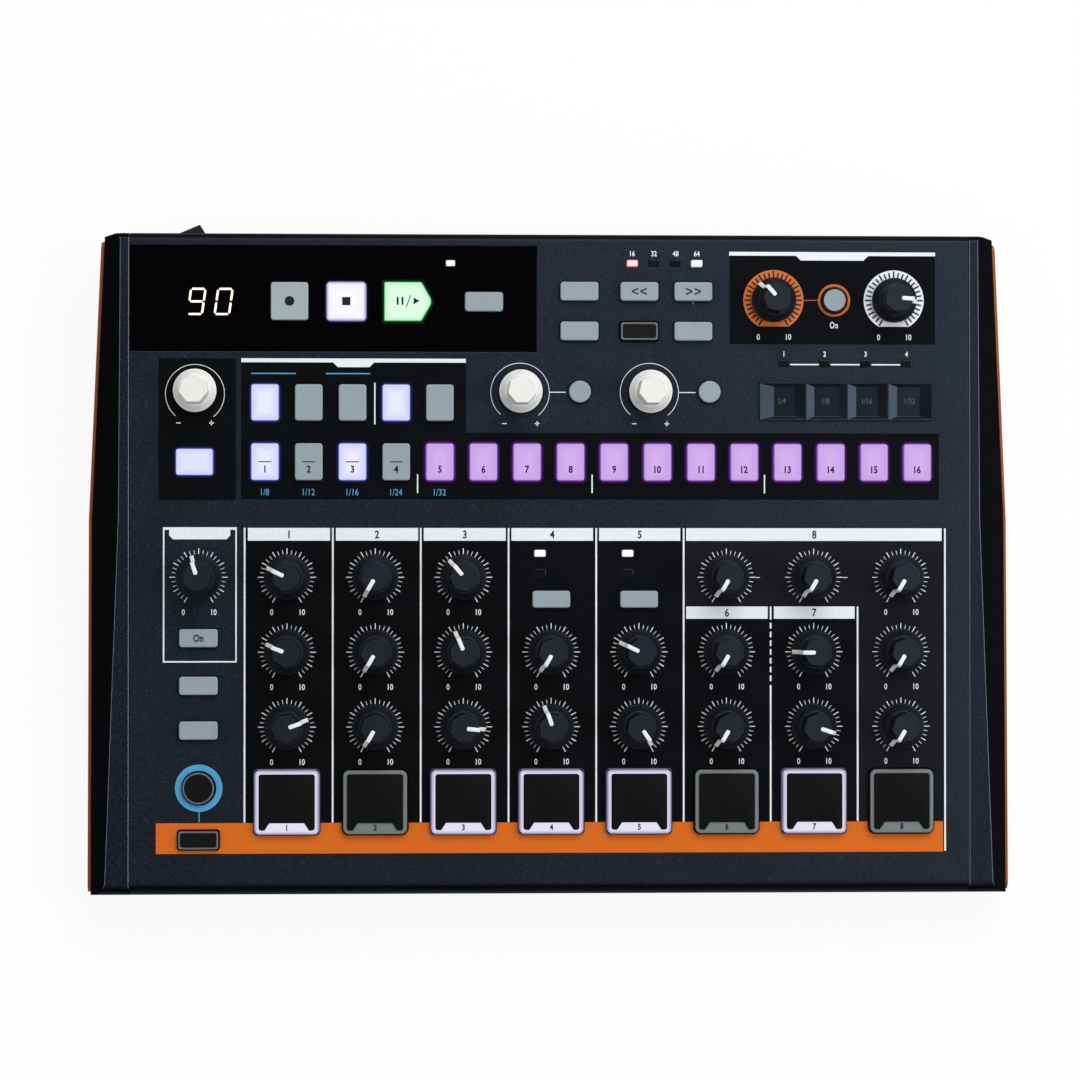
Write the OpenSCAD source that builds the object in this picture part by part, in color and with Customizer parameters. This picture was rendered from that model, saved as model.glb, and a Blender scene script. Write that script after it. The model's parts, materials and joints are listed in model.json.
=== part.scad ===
// Desktop analogue drum machine, in millimetres.
// +X runs to the player's right, +Y to the rear and +Z up.
// The origin is the middle of the footprint, on the table.
// Panel places are (u, v): u from the middle line, v up the slope from the front edge.

/* [Case] */
// Overall width across the two side inserts
case_w = 316; // [310:1:340]
// Depth of the case from its front edge to its rear edge
case_d = 224.8; // [223:0.1:232]
// Height of the panel plane at its front edge, above the table
front_h = 22; // [21:0.5:26]
// Slope of the control panel in degrees
tilt = 4; // [3.5:0.25:5]
// Width of a side cheek with its insert
cheek_w = 14.6; // [14:0.1:15.5]
// Thickness of the folded top sheet
sheet = 1.5; // [1:0.1:2]
// Outside radius of the rolled front edge
roll_r = 4.5; // [3.5:0.25:6]
// Outside radius of the bend at the rear edge
bend_r = 2.5; // [2.2:0.1:3]
// Depth of the lip that the top sheet turns down at the rear
rear_lip = 6; // [5:0.5:8]
// Gap of each seam between the sheet and a side cheek
seam = 0.3; // [0.2:0.05:0.5]

/* [Side cheeks] */
// Width of the flat strip on a cheek at the rear
strip_rear = 3.0; // [2.5:0.1:4]
// Width of that strip where the side bends
strip_mid = 3.6; // [3:0.1:5]
// Width of that strip at the front
strip_front = 8.2; // [7:0.1:9]
// Distance of the bend in the side from the front edge
kink_v = 128; // [110:1:150]
// How far the side tapers in from the bend to the rear edge
side_taper = 4.6; // [3:0.1:6]
// Slope of the bevel, as fall per unit of width
bevel_fall = 0.85; // [0.7:0.05:1]
// How far the side insert stands proud of the cheek
insert_proud = 1.2; // [0.8:0.1:1.6]
// Depth of the pocket that holds the side insert
insert_pocket = 1.8; // [1.2:0.1:2.2]
// Distance of the side insert's ends from the ends of the side
insert_end = 1.1; // [1:0.1:3]
// How far the rear face of a cheek falls back towards its outer side
cheek_sweep = 1; // [0.6:0.1:1.4]
// Wall of the moulded cheek
cheek_wall = 2.6; // [2:0.1:3]

/* [Base] */
// Height of the rubber feet
foot_h = 3; // [2.5:0.5:4]
// Diameter of the rubber feet
foot_d = 13; // [10:0.5:16]
// Inset of the feet from the panel's edges
foot_inset = 20; // [16:1:30]
// Thickness of the base plate
base_t = 2; // [1.5:0.1:2.5]
// Thickness of the rear wall
rear_t = 2; // [1.5:0.1:2.5]
// Thickness of the circuit boards
board_t = 1.6; // [1.2:0.1:2]
// Depth of the control board's top below the panel's face
board_drop = 11; // [10.5:0.5:12]
// Height of the standoffs under the main board
board_lift = 3; // [2.5:0.5:4]

/* [Knobs] */
// Distance of the outer knob columns from the sides of the top sheet
side_margin = 23.4; // [22.5:0.1:25]
// Distance between the knob rows
row_pitch = 25.5; // [25:0.1:26]
// Distance of the upper knob row from the front edge
row_top = 107.9; // [107:0.1:110]
// Diameter of a knob's skirt
skirt_d = 15.3; // [14:0.1:16]
// Width of a knob's seven-sided grip across its corners
grip_d = 10.8; // [10:0.1:11.5]
// Height of a knob's top above the panel
knob_h = 14; // [12:0.5:15]
// Diameter of the skirt of the white encoder knobs
enc_skirt_d = 14.9; // [14:0.1:15.5]
// Width of the white pointer
pointer_w = 1.4; // [1:0.1:1.8]
// Diameter of the control shafts
shaft_d = 6; // [5:0.1:6.4]
// Running clearance around a shaft, per side
shaft_gap = 0.25; // [0.2:0.05:0.3]

/* [Buttons and pads] */
// Width of a step button
step_w = 9.4; // [9:0.1:10]
// Depth of a step button
step_d = 12.6; // [12:0.1:13]
// Distance from the left side of the top sheet to the first step button's middle
step_left = 45.9; // [44.5:0.1:47]
// Distance from the last step button's middle to the right side of the top sheet
step_right = 17.85; // [17:0.05:20]
// Side of a drum pad
pad_s = 22.1; // [21:0.1:23]
// Width of a pad's translucent rim
pad_rim = 1.5; // [1.2:0.1:2]
// Corner radius of a pad
pad_corner = 2.2; // [1.8:0.1:2.6]
// Height of the button caps above the panel
cap_h = 1.6; // [1.4:0.1:2.5]
// Height of the pads' rims above the panel
pad_h = 2.2; // [1.8:0.1:3]
// Gap around each button cap, per side
cap_gap = 0.35; // [0.3:0.05:0.5]
// Travel of the buttons
press = 1.2; // [1:0.1:1.3]
// Travel of the pads
pad_press = 1.4; // [1.2:0.1:1.5]
// Diameter of the button stems
stem_d = 3.2; // [2.8:0.1:3.6]

/* [Rear panel] */
// Length of the power rocker
rocker_l = 17.2; // [16:0.1:18]
// Height of the power rocker
rocker_w = 11.6; // [10:0.1:12]
// How far the rocker's raised end stands out behind the case
rocker_reach = 5.2; // [4.5:0.1:5.6]
// Angle of the rocker from its middle position
rocker_swing = 12; // [10:0.5:13]
// Bore of the large jack sockets
big_bore = 6.4; // [6.35:0.05:6.5]
// Bore of the small jack sockets
small_bore = 3.6; // [3.5:0.05:3.7]

/* [Hidden] */
$fn = 48;
front_y = -(case_d + rocker_reach) / 2;
rear_y = front_y + case_d;
wall_y = rear_y - sheet - 0.2;
row_mid = row_top - row_pitch;
row_low = row_mid - row_pitch;
panel_w = case_w - 2 * cheek_w;
half_w = panel_w / 2;
col_pitch = (panel_w - 2 * side_margin) / 8;
step_pitch = (panel_w - step_left - step_right) / 15;
cheek_in = half_w + seam;
side_x = case_w / 2 - insert_proud;
floor_z = foot_h + base_t;
board_top = -board_drop;
board_low = board_top - board_t;
main_top = floor_z + board_lift + board_t;

// Places on the panel are written for a sheet 286.8 wide and 224.8 deep, and spread with its size
function at(u) = u * panel_w / 286.8;
function up(v) = v * case_d / 224.8;

// Name, u, v and resting angle of each pointer knob; the angle runs clockwise from straight up
KNOBS = [
  ["metronome_knob", -4 * col_pitch, row_top, -18],
  ["kick_decay_knob", -3 * col_pitch, row_top, -65],
  ["kick_pitch_knob", -3 * col_pitch, row_mid, -69],
  ["kick_level_knob", -3 * col_pitch, row_low, 70],
  ["snare_one_decay_knob", -2 * col_pitch, row_top, -150],
  ["snare_one_tone_knob", -2 * col_pitch, row_mid, -150],
  ["snare_one_level_knob", -2 * col_pitch, row_low, -150],
  ["snare_two_decay_knob", -col_pitch, row_top, -40],
  ["snare_two_tone_knob", -col_pitch, row_mid, -22],
  ["snare_two_level_knob", -col_pitch, row_low, 96],
  ["tom_pitch_knob", 0, row_mid, -150],
  ["tom_level_knob", 0, row_low, -19],
  ["cymbal_decay_knob", col_pitch, row_mid, -64],
  ["cymbal_level_knob", col_pitch, row_low, 146],
  ["drum_modulation_knob", 2 * col_pitch, row_top, -150],
  ["hat_tone_knob", 2 * col_pitch, row_mid, -150],
  ["closed_hat_level_knob", 2 * col_pitch, row_low, -150],
  ["drum_fm_amount_knob", 3 * col_pitch, row_top, -150],
  ["open_hat_decay_knob", 3 * col_pitch, row_mid, -90],
  ["open_hat_level_knob", 3 * col_pitch, row_low, 108],
  ["drum_fm_decay_knob", 4 * col_pitch, row_top, -150],
  ["carrier_pitch_knob", 4 * col_pitch, row_mid, -150],
  ["drum_fm_level_knob", 4 * col_pitch, row_low, -150],
  ["distortion_knob", at(76.2), up(202.8), -41],
  ["master_volume_knob", at(117.6), up(202.8), 94]
];
// Name, u and v of the endless white encoders
ENCODERS = [
  ["rate_encoder", at(-121.3), up(171.4)],
  ["swing_encoder", at(-10.4), up(171.4)],
  ["random_encoder", at(34), up(171.4)]
];
STEP_U = step_left - half_w;
STEP_V = up(147.2);
MODE_V = up(167.4);
PAD_V = up(31.4);
// Rectangular keys of the small keypad mats: u, v, width, depth
FUNCTION_KEYS = concat(
  [[at(-23), up(201.9), 13, 6.6]],
  [for (u = [9.6, 30.1, 48.6], v = [205.6, 192]) [at(u), up(v), 13, 6.4]],
  [for (k = [0, 1]) [k * col_pitch, row_top - 7.5, 12.9, 5.8]],
  [for (below = [20.7, 36.9, 52.1]) [-4 * col_pitch, row_top - below, 13.1, 6.2]],
  [[-4 * col_pitch, up(18.6), 13.9, 6.5]]
);
// Round keys: u, v, diameter
ROUND_KEYS = [
  [at(9.8), up(171.3), 7.5], [at(54.2), up(171.3), 7.5], [at(97.1), up(202.8), 9.2],
  [-4 * col_pitch, up(36.2), 11.2]
];
RECORD = [at(-89.2), up(201.9), 12.7, 12.9];
STOP = [at(-69.9), up(201.9), 13.1, 12.9];
PLAY = [at(-49), up(201.9), 15.9, 13.2];
play_slant = 3.3;
TAP = [at(-121.4), up(147.1), 12.6, 9];
MODE_KEYS = concat([for (k = [0:4]) [STEP_U + k * step_pitch, MODE_V, step_w, 12.4]], [TAP]);
STEP_KEYS = [for (k = [0:15]) [STEP_U + k * step_pitch, STEP_V, step_w, step_d]];
PADS = [for (k = [0:7]) [-3 * col_pitch + k * col_pitch, PAD_V, pad_s, pad_s]];
RECT_KEYS = concat([RECORD, STOP, PLAY], FUNCTION_KEYS, MODE_KEYS, STEP_KEYS);

// Gloss window: left edge at the seam; right edge, lower edge and upper edge
WINDOW = [-half_w, at(-4.9), up(184.9), case_d - 3.7];
// Touch strip: left, right, lower and upper edges, and the walls between its four dishes
STRIP = [at(71.3), at(130.9), up(161.6), up(174.6)];
STRIP_WALLS = [at(87.2), at(101.4), at(115.5)];
// How far the left and the right side of each dish slope in
DISH_SIDES = [[4.8, 3.3], [2.8, 2.4], [3, 3.1], [3, 4]];
dish_depth = 1;
strip_face = 0.5;
window_t = 2;
flange_t = 1.2;
flange_w = 1.4;
fit = 0.15;

// Light pipes: u, v; the last four shine up at the underside of the window
LAMP_W = 3.9;
LAMP_D = 2.4;
LAMPS = concat(
  [for (k = [0, 1], above = [8.2, 1.6]) [k * col_pitch - 3.8, row_top + above]],
  [for (u = [27.8, 35.2, 42.6, 49.9]) [at(u), up(215.3)]],
  [for (u = [79.8, 93.8, 107.9, 122]) [at(u), up(181.1)]]
);
WINDOW_LAMPS = [for (u = [-34.4, -27.1, -19.8, -12.5]) [at(u), up(215.1)]];

// Welded studs of the top sheet that carry the control board
stud_inset = 9.4;
LONG_STUDS = [for (v = [12, up(70), up(132)], m = [-1, 1]) [m * (half_w - stud_inset), v]];
SHORT_PLACES = [[-65, 179], [66, 180], [0.5, 215], [134, 214], [-15, 48], [75, 48], [-75, 95], [15, 95]];
SHORT_STUDS = [for (s = SHORT_PLACES) [at(s[0]), up(s[1])]];
stud_d = 5;
post_d = 9;
screw_d = 2.8;
head_d = 5.6;

// Digit module: middle, width and depth, and the size of its digits
digit_u = at(-120.8);
digit_v = up(201.75);
module_w = 33;
module_d = 15.5;
digit_pitch = 9.2;
digit_w = 4.6;
digit_h = 9.4;
digit_bar = 1.1;

// Control board: distance of its edges from the sheet's sides, front and rear, and its rear notch
board_side = 5.4;
board_front = 9;
board_rear = 6;
notch_d = 9;

// Rear sockets: u places
ROCKER_U = at(-127.4);
ROCKER_Z = 16;
POWER_U = at(-104);
USB_U = at(-89);
MIDI_U = [at(-70.5), at(-47)];
SMALL_U = [at(-29.5), at(-16.5), at(6), at(22), at(38), at(54)];
BIG_U = [at(82), at(106)];
LOCK_U = at(129);
socket_z = main_top + 5.6;
midi_z = main_top + 9.6;
MAIN_BOARD = [at(-110), at(122), 58];
header_w = 50;
tall_d = 6.3;

// ---- helpers ----

// Moves to a place on the sloping panel, with w along its normal
module on_panel(u = 0, v = 0, w = 0) {
  translate([0, front_y, front_h]) rotate([tilt, 0, 0]) translate([u, v, w]) children();
}

// Height of a plane that lies w above the panel's face, at a given y
function plane_z(y, w = 0) = front_h + (y - front_y) * tan(tilt) + w / cos(tilt);

// Extrudes a shape drawn in (y, z) along X, from x0 to x1
module across(x0, x1) {
  translate([x0, 0, 0]) rotate([90, 0, 90]) linear_extrude(x1 - x0) children();
}

// Rectangle with round corners
module round_rect(w, d, r) {
  square([w - 2 * r, d], center = true);
  square([w, d - 2 * r], center = true);
  for (x = [-1, 1], y = [-1, 1]) {
    translate([x * (w / 2 - r), y * (d / 2 - r)]) circle(r);
  }
}

// Straight-sided block with round corners, standing on z0
module round_block(w, d, r, z0, z1) {
  translate([0, 0, z0]) linear_extrude(z1 - z0) round_rect(w, d, r);
}

// Cylinder from z0 to z1
module rod(d, z0, z1) {
  translate([0, 0, z0]) cylinder(d = d, h = z1 - z0);
}

// Box between two corners
module box(lo, hi) {
  translate(lo) cube([hi[0] - lo[0], hi[1] - lo[1], hi[2] - lo[2]]);
}

// Side view of the case, inset by t: rolled front edge, sloping top and bent rear edge
module side_view(t, front_low, rear_low) {
  r1 = roll_r - t;
  r2 = bend_r - t;
  c1 = [front_y + roll_r, plane_z(front_y + roll_r, -roll_r)];
  c2 = [rear_y - bend_r, plane_z(rear_y - bend_r, -bend_r)];
  up = [-sin(tilt), cos(tilt)];
  polygon([
    [front_y + t, front_low], [front_y + t, c1[1]], c1 + r1 * [-0.5, 0.5], c1 + r1 * up,
    c2 + r2 * up, c2 + r2 * [0.5, 0.5], [rear_y - t, c2[1]], [rear_y - t, rear_low]
  ]);
  translate(c1) circle(r1);
  translate(c2) circle(r2);
}

// What is cut off a square-edged block to roll its front edge and bend its rear edge
module edge_waste() {
  up = [-sin(tilt), cos(tilt)];
  for (e = [[front_y, -1, roll_r], [rear_y, 1, bend_r]]) {
    c = [e[0] - e[1] * e[2], plane_z(e[0] - e[1] * e[2], -e[2])];
    difference() {
      polygon([
        c, c + [e[1] * e[2], 0], c + [e[1] * (e[2] + 2), 0],
        [e[0] + 2 * e[1], plane_z(e[0]) + 3], c + (e[2] + 3) * up, c + e[2] * up
      ]);
      translate(c) circle(e[2]);
    }
  }
}

// Outline of the play key: a block with a blunt point on its right
module play_outline(grow = 0) {
  w = PLAY[2] / 2 + grow;
  d = PLAY[3] / 2 + grow;
  polygon([[-w, -d], [w - play_slant, -d], [w, -0.8], [w, 0.8], [w - play_slant, d], [-w, d]]);
}

// ---- case ----

// Cuts for every control that passes through the top sheet
module panel_holes() {
  for (k = KNOBS) {
    on_panel(k[1], k[2], -sheet - 1) cylinder(d = shaft_d + 1.6, h = sheet + 2);
  }
  for (k = ENCODERS) {
    on_panel(k[1], k[2], -sheet - 1) cylinder(d = shaft_d + 1.6, h = sheet + 2);
  }
  for (k = concat(FUNCTION_KEYS, MODE_KEYS, STEP_KEYS)) {
    if (k[1] < WINDOW[2] || k[0] > WINDOW[1]) {
      on_panel(k[0], k[1]) round_block(k[2] + 2 * cap_gap, k[3] + 2 * cap_gap, 1.2, -sheet - 1, 1);
    }
  }
  for (k = PADS) {
    on_panel(k[0], k[1]) {
      round_block(k[2] + 2 * cap_gap, k[3] + 2 * cap_gap, pad_corner + cap_gap, -sheet - 1, 1);
    }
  }
  for (k = ROUND_KEYS) {
    on_panel(k[0], k[1], -sheet - 1) cylinder(d = k[2] + 2 * cap_gap, h = sheet + 2);
  }
  for (k = LAMPS) {
    on_panel(k[0], k[1]) round_block(LAMP_W + 2 * fit, LAMP_D + 2 * fit, 0.6, -sheet - 1, 1);
  }
  on_panel() {
    box([WINDOW[0] - 1, WINDOW[2] - fit, -sheet - 1], [WINDOW[1] + fit, WINDOW[3] + fit, 1]);
    box([STRIP[0] - fit, STRIP[2] - fit, -sheet - 1], [STRIP[1] + fit, STRIP[3] + fit, 1]);
  }
}

// Folded steel top with its rolled front edge, rear lip and welded studs
module top_panel() {
  color("#252a33") {
    difference() {
      across(-half_w, half_w) side_view(0, foot_h + 0.6, plane_z(rear_y) - rear_lip);
      across(-half_w - 1, half_w + 1) side_view(sheet, foot_h - 0.4, plane_z(rear_y) - rear_lip - 1);
      panel_holes();
    }
    for (s = concat(LONG_STUDS, SHORT_STUDS)) {
      on_panel(s[0], s[1]) difference() {
        rod(stud_d, board_top, -sheet + 0.2);
        rod(screw_d + 0.4, board_top - 1, board_top + 7);
      }
    }
  }
}

// Solid of one side, before it is hollowed; right-hand side
module cheek_blank() {
  z0 = foot_h;
  y1 = front_y + kink_v;
  xo = [side_x, side_x, side_x - side_taper];
  xs = [cheek_in + strip_front, cheek_in + strip_mid, cheek_in + strip_rear];
  ys = [front_y, y1, rear_y];
  points = [for (k = [0:2]) each [
    [cheek_in, ys[k], z0],
    [cheek_in, ys[k], plane_z(ys[k])],
    [xs[k], ys[k], plane_z(ys[k])],
    [xo[k], ys[k], plane_z(ys[k]) - bevel_fall * (xo[k] - xs[k])],
    [xo[k], ys[k], z0]
  ]];
  sides = [for (k = [0:1], j = [0:4]) each [
    [5 * k + j, 5 * k + 5 + j, 5 * k + (j + 1) % 5],
    [5 * k + (j + 1) % 5, 5 * k + 5 + j, 5 * k + 5 + (j + 1) % 5]
  ]];
  polyhedron(points, concat([[0, 1, 2, 3, 4]], sides, [[14, 13, 12, 11, 10]]));
}

// Plan of a band that follows the side, between two distances from the cheek's face
module side_band(inner, outer, z0, z1) {
  y1 = front_y + kink_v;
  translate([0, 0, z0]) linear_extrude(z1 - z0) polygon([
    [side_x + outer, front_y - 1], [side_x + outer, y1],
    [side_x + outer - side_taper, rear_y + 1], [side_x + inner - side_taper, rear_y + 1],
    [side_x + inner, y1], [side_x + inner, front_y - 1]
  ]);
}

// Side view of the insert: it follows the bevel's lower edge and has cut corners
module insert_view(grow = 0) {
  a = front_y + insert_end - grow;
  b = rear_y - cheek_sweep - insert_end + grow;
  z0 = foot_h + 2.4 - grow;
  front_top = plane_z(a) - bevel_fall * (side_x - cheek_in - strip_front) - 2.2 + grow;
  kink_top = plane_z(front_y + kink_v) - bevel_fall * (side_x - cheek_in - strip_mid) - 2.2 + grow;
  rear_top = plane_z(b) - bevel_fall * (side_x - side_taper - cheek_in - strip_rear) - 2.2 + grow;
  polygon([
    [a + 3, z0], [a, z0 + 3], [a, front_top - 2], [a + 2, front_top],
    [front_y + kink_v, kink_top], [b - 2, rear_top], [b, rear_top - 2], [b, z0 + 3], [b - 3, z0]
  ]);
}

// Moulded cheek of the right side, hollowed from its inner face, with ribs and screw bosses
module cheek() {
  screw_x = cheek_in + 3.2;
  difference() {
    cheek_blank();
    across(cheek_in - 1, side_x + 1) edge_waste();
    // rear face swept back towards the outer side
    linear_extrude(60) polygon([
      [cheek_in + strip_rear, rear_y], [side_x - side_taper, rear_y - cheek_sweep],
      [side_x + 1, rear_y - cheek_sweep], [side_x + 1, rear_y + 1], [cheek_in + strip_rear, rear_y + 1]
    ]);
    // rebate that the base plate slides under
    box([cheek_in - 1, front_y + 3, foot_h - 1], [cheek_in + 6.2, rear_y - 3, floor_z]);
    // pocket of the side insert
    intersection() {
      side_band(-insert_pocket, 3, foot_h, 60);
      across(0, case_w) insert_view(fit);
    }
    // hollow bays between the ribs
    for (k = [0:6]) {
      y0 = front_y + 12 + k * (case_d - 22) / 7;
      y1 = y0 + (case_d - 22) / 7 - cheek_wall;
      box([cheek_in - 1, y0, floor_z + 3], [cheek_in + 4.6, y1, plane_z(y0) - 3.4 - cheek_wall]);
    }
    for (y = screw_rows) {
      translate([screw_x, y, 0]) rod(screw_d + 0.4, foot_h, floor_z + 2.6);
    }
  }
}
screw_rows = [front_y + 9.5, front_y + 12 + (case_d - 22) / 7 * 4 - 1.3, rear_y - 9.5];

module right_cheek() {
  color("#191b20") cheek();
}

module left_cheek() {
  color("#191b20") mirror([1, 0, 0]) cheek();
}

// Coloured strips that clip into the pockets of the two cheeks
module side_inserts() {
  color("#d4691c") for (m = [0, 1]) {
    mirror([m, 0, 0]) intersection() {
      side_band(-insert_pocket + 0.1, insert_proud, foot_h, 60);
      across(0, case_w) insert_view();
    }
  }
}

// Gloss window with cut-outs for the four keys that pass through it
module display_window() {
  color("#050608") on_panel() difference() {
    union() {
      box([WINDOW[0], WINDOW[2], -window_t], [WINDOW[1], WINDOW[3], 0]);
      box([WINDOW[0], WINDOW[2] - flange_w, -sheet - 0.1 - flange_t],
        [WINDOW[1] + flange_w, WINDOW[3] + 0.4, -sheet - 0.1]);
    }
    for (k = [RECORD, STOP, FUNCTION_KEYS[0]]) {
      translate([k[0], k[1]]) {
        round_block(k[2] + 2 * cap_gap, k[3] + 2 * cap_gap, 1.2, -sheet - flange_t - 1, 1);
      }
    }
    translate([PLAY[0], PLAY[1], -sheet - flange_t - 1]) {
      linear_extrude(sheet + flange_t + 2) play_outline(cap_gap);
    }
  }
}

// One seven-segment digit, drawn in the panel's plane
module digit(w, h, t) {
  for (y = [0, h / 2, h]) {
    translate([0, y - h / 2]) square([w - t - 0.4, t], center = true);
  }
  for (x = [-1, 1], y = [-1, 1]) {
    translate([x * w / 2, y * h / 4]) square([t, h / 2 - t - 0.4], center = true);
  }
}

// Three-digit light-emitting display module on its legs
module digit_display() {
  top = -sheet - flange_t - 0.6;
  low = board_top + 1.2;
  color("#1a1a1c") on_panel(digit_u, digit_v) {
    difference() {
      box([-module_w / 2, -module_d / 2, low], [module_w / 2, module_d / 2, top]);
      for (k = [-1:1]) {
        translate([k * digit_pitch, 0, top - 0.4]) linear_extrude(1) digit(digit_w, digit_h, digit_bar);
      }
    }
    for (x = [-2.5:2.5], y = [-1, 1]) {
      translate([x * module_w / 7, y * (module_d / 2 - 1.6)]) rod(0.8, board_top, low + 0.2);
    }
  }
}

// Cutter of one dish with four sloping sides; its floor lies dish_depth below the strip's face
module dish(left, right, low, high, slopes) {
  face = strip_face;
  floor = face - dish_depth;
  intersection() {
    translate([0, high, 0]) rotate([90, 0, 0]) linear_extrude(high - low) polygon([
      [left, face + 1], [left, face], [left + slopes[0], floor], [right - slopes[1], floor],
      [right, face], [right, face + 1]
    ]);
    across(left, right) polygon([
      [low, face + 1], [low, face], [low + dish_depth, floor], [high - dish_depth, floor],
      [high, face], [high, face + 1]
    ]);
  }
}

// Touch strip with four dishes for a finger
module touch_strip() {
  edges = concat([STRIP[0]], STRIP_WALLS, [STRIP[1]]);
  color("#101114") on_panel() {
    difference() {
      union() {
        box([STRIP[0], STRIP[2], -sheet - 0.2], [STRIP[1], STRIP[3], strip_face]);
        box([STRIP[0] - flange_w, STRIP[2] - flange_w, -sheet - 0.1 - flange_t],
          [STRIP[1] + flange_w, STRIP[3] + flange_w, -sheet - 0.1]);
      }
      for (k = [0:3]) {
        dish(edges[k] + 0.3, edges[k + 1] - 0.3, STRIP[2] + 0.4, STRIP[3] - 0.4, DISH_SIDES[k]);
      }
    }
    for (x = [STRIP[0] + 6, STRIP[1] - 6]) {
      translate([x, (STRIP[2] + STRIP[3]) / 2]) rod(4, board_top, -sheet - flange_t);
    }
  }
}

// Light pipes that stand on the control board's lamps
module indicator_lenses() {
  color("#e8e4f4") {
    for (k = LAMPS) {
      on_panel(k[0], k[1]) {
        round_block(LAMP_W, LAMP_D, 0.5, board_top + 1, 0.2);
        box([-1.6, -0.8, board_top], [1.6, 0.8, board_top + 1.2]);
      }
    }
    for (k = WINDOW_LAMPS) {
      on_panel(k[0], k[1]) {
        round_block(LAMP_W, LAMP_D, 0.5, board_top + 1, -sheet - flange_t - 0.4);
        box([-1.6, -0.8, board_top], [1.6, 0.8, board_top + 1.2]);
      }
    }
  }
}

// Place along the panel's normal where the head of a long screw bears, for a stud at v
function screw_seat(v) = -(front_h - foot_h - 3 + v * sin(tilt)) / cos(tilt);

// Base tray: floor, low front and side flanges, pierced rear wall and posts
module base_tray() {
  in_x = half_w - 0.2;
  in_y = front_y + sheet + 0.3;
  rear_top = plane_z(wall_y - rear_t, -sheet - 0.1 - flange_t) - 0.3;
  color("#2b2d31") difference() {
    union() {
      box([-cheek_in - 6, front_y + 3.2, foot_h], [cheek_in + 6, rear_y - 3.2, floor_z]);
      box([-in_x, in_y, foot_h + 0.3], [in_x, in_y + 1.6, floor_z + 4]);
      box([-in_x, wall_y - rear_t, foot_h], [in_x, wall_y, rear_top]);
      for (m = [0, 1]) {
        mirror([m, 0, 0]) box([in_x - 1.6, in_y, foot_h], [in_x, wall_y, floor_z + 4]);
      }
      for (s = LONG_STUDS) {
        intersection() {
          on_panel(s[0], s[1]) rod(post_d, -60, board_low);
          box([-case_w, front_y, foot_h + 0.5], [case_w, rear_y, 60]);
        }
      }
      for (x = [MAIN_BOARD[0] + 5, MAIN_BOARD[1] - 5], y = [0, 1]) {
        translate([x, wall_y - rear_t - 6 - y * (MAIN_BOARD[2] - 11)]) {
          rod(6, foot_h + 0.5, floor_z + board_lift);
        }
      }
    }
    for (s = LONG_STUDS) {
      on_panel(s[0], s[1]) {
        rod(screw_d + 0.6, -60, 0);
        rod(head_d + 0.6, screw_seat(s[1]) - 12, screw_seat(s[1]));
      }
    }
    for (m = [-1, 1], y = screw_rows) {
      translate([m * (cheek_in + 3.2), y, 0]) {
        rod(screw_d + 0.4, foot_h - 1, floor_z + 1);
        rod(head_d - 0.2, foot_h - 1, foot_h + 1.1);
      }
    }
    for (x = [-1, 1], y = [-1, 1]) {
      foot_place(x, y) rod(foot_stub_d + 0.3, foot_h - 1, floor_z + 1);
    }
    rear_cuts();
  }
}

// Openings of the rear wall, each a little larger than what passes through it
module rear_cuts() {
  y0 = wall_y - rear_t - 1;
  y1 = wall_y + 1;
  box([ROCKER_U - housing_x - 0.4, y0, ROCKER_Z - 7.3], [ROCKER_U + housing_x + 0.4, y1, ROCKER_Z + 7.3]);
  box([USB_U - 6.2, y0, socket_z - 5.7], [USB_U + 6.2, y1, socket_z + 5.7]);
  box([LOCK_U - 3.5, y0, socket_z - 1.5], [LOCK_U + 3.5, y1, socket_z + 1.5]);
  rear_bore(POWER_U, socket_z, 8.4);
  for (u = MIDI_U) rear_bore(u, midi_z, 16.4);
  for (u = SMALL_U) rear_bore(u, socket_z, 6.4);
  for (u = BIG_U) rear_bore(u, socket_z, 9.4);
}

// Round hole along Y through the rear wall
module rear_bore(u, z, d) {
  translate([u, wall_y - rear_t - 1, z]) rotate([-90, 0, 0]) cylinder(d = d, h = rear_t + 2);
}

// Cylinder along Y between two distances in front of the rear wall's outer face
module rear_rod(u, z, d, from, to) {
  translate([u, wall_y - to, z]) rotate([-90, 0, 0]) cylinder(d = d, h = to - from);
}

// ---- electronics ----

// Control board under the panel, notched at the rear for the tall round sockets
module control_board() {
  color("#1d5a3a") on_panel() difference() {
    box([board_side - half_w, board_front, board_low],
      [half_w - board_side, case_d - board_rear, board_top]);
    box([MIDI_U[0] - 11, case_d - board_rear - notch_d, board_low - 1],
      [MIDI_U[1] + 11, case_d, board_top + 1]);
    for (s = concat(LONG_STUDS, SHORT_STUDS)) {
      translate([s[0], s[1]]) rod(screw_d + 0.4, board_low - 1, board_top + 1);
    }
  }
}

// Main board on its standoffs, with the plug-in header that joins the two boards
module main_board() {
  rear = wall_y - rear_t - 0.5;
  head_y = rear - MAIN_BOARD[2] + 8;
  color("#1d5a3a") difference() {
    box([MAIN_BOARD[0], rear - MAIN_BOARD[2], floor_z + board_lift], [MAIN_BOARD[1], rear, main_top]);
    for (x = [MAIN_BOARD[0] + 5, MAIN_BOARD[1] - 5], y = [0, 1]) {
      translate([x, wall_y - rear_t - 6 - y * (MAIN_BOARD[2] - 11)]) rod(2.4, 0, 60);
    }
  }
  color("#111111") {
    translate([at(-15), 0]) {
      box([-header_w / 2, head_y - 2.5, main_top],
        [header_w / 2, head_y + 2.5, plane_z(head_y - 2.5, board_low) - 0.2]);
    }
    translate([at(-73), head_y]) box([-7, -10, main_top], [7, 4, main_top + 1.2]);
    translate([at(45), head_y]) box([-5, -6, main_top], [5, 4, main_top + 1.2]);
    for (x = [-100, -92, 66, 74, 98]) {
      translate([at(x), head_y]) rod(tall_d, main_top, main_top + 7);
    }
  }
}

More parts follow.
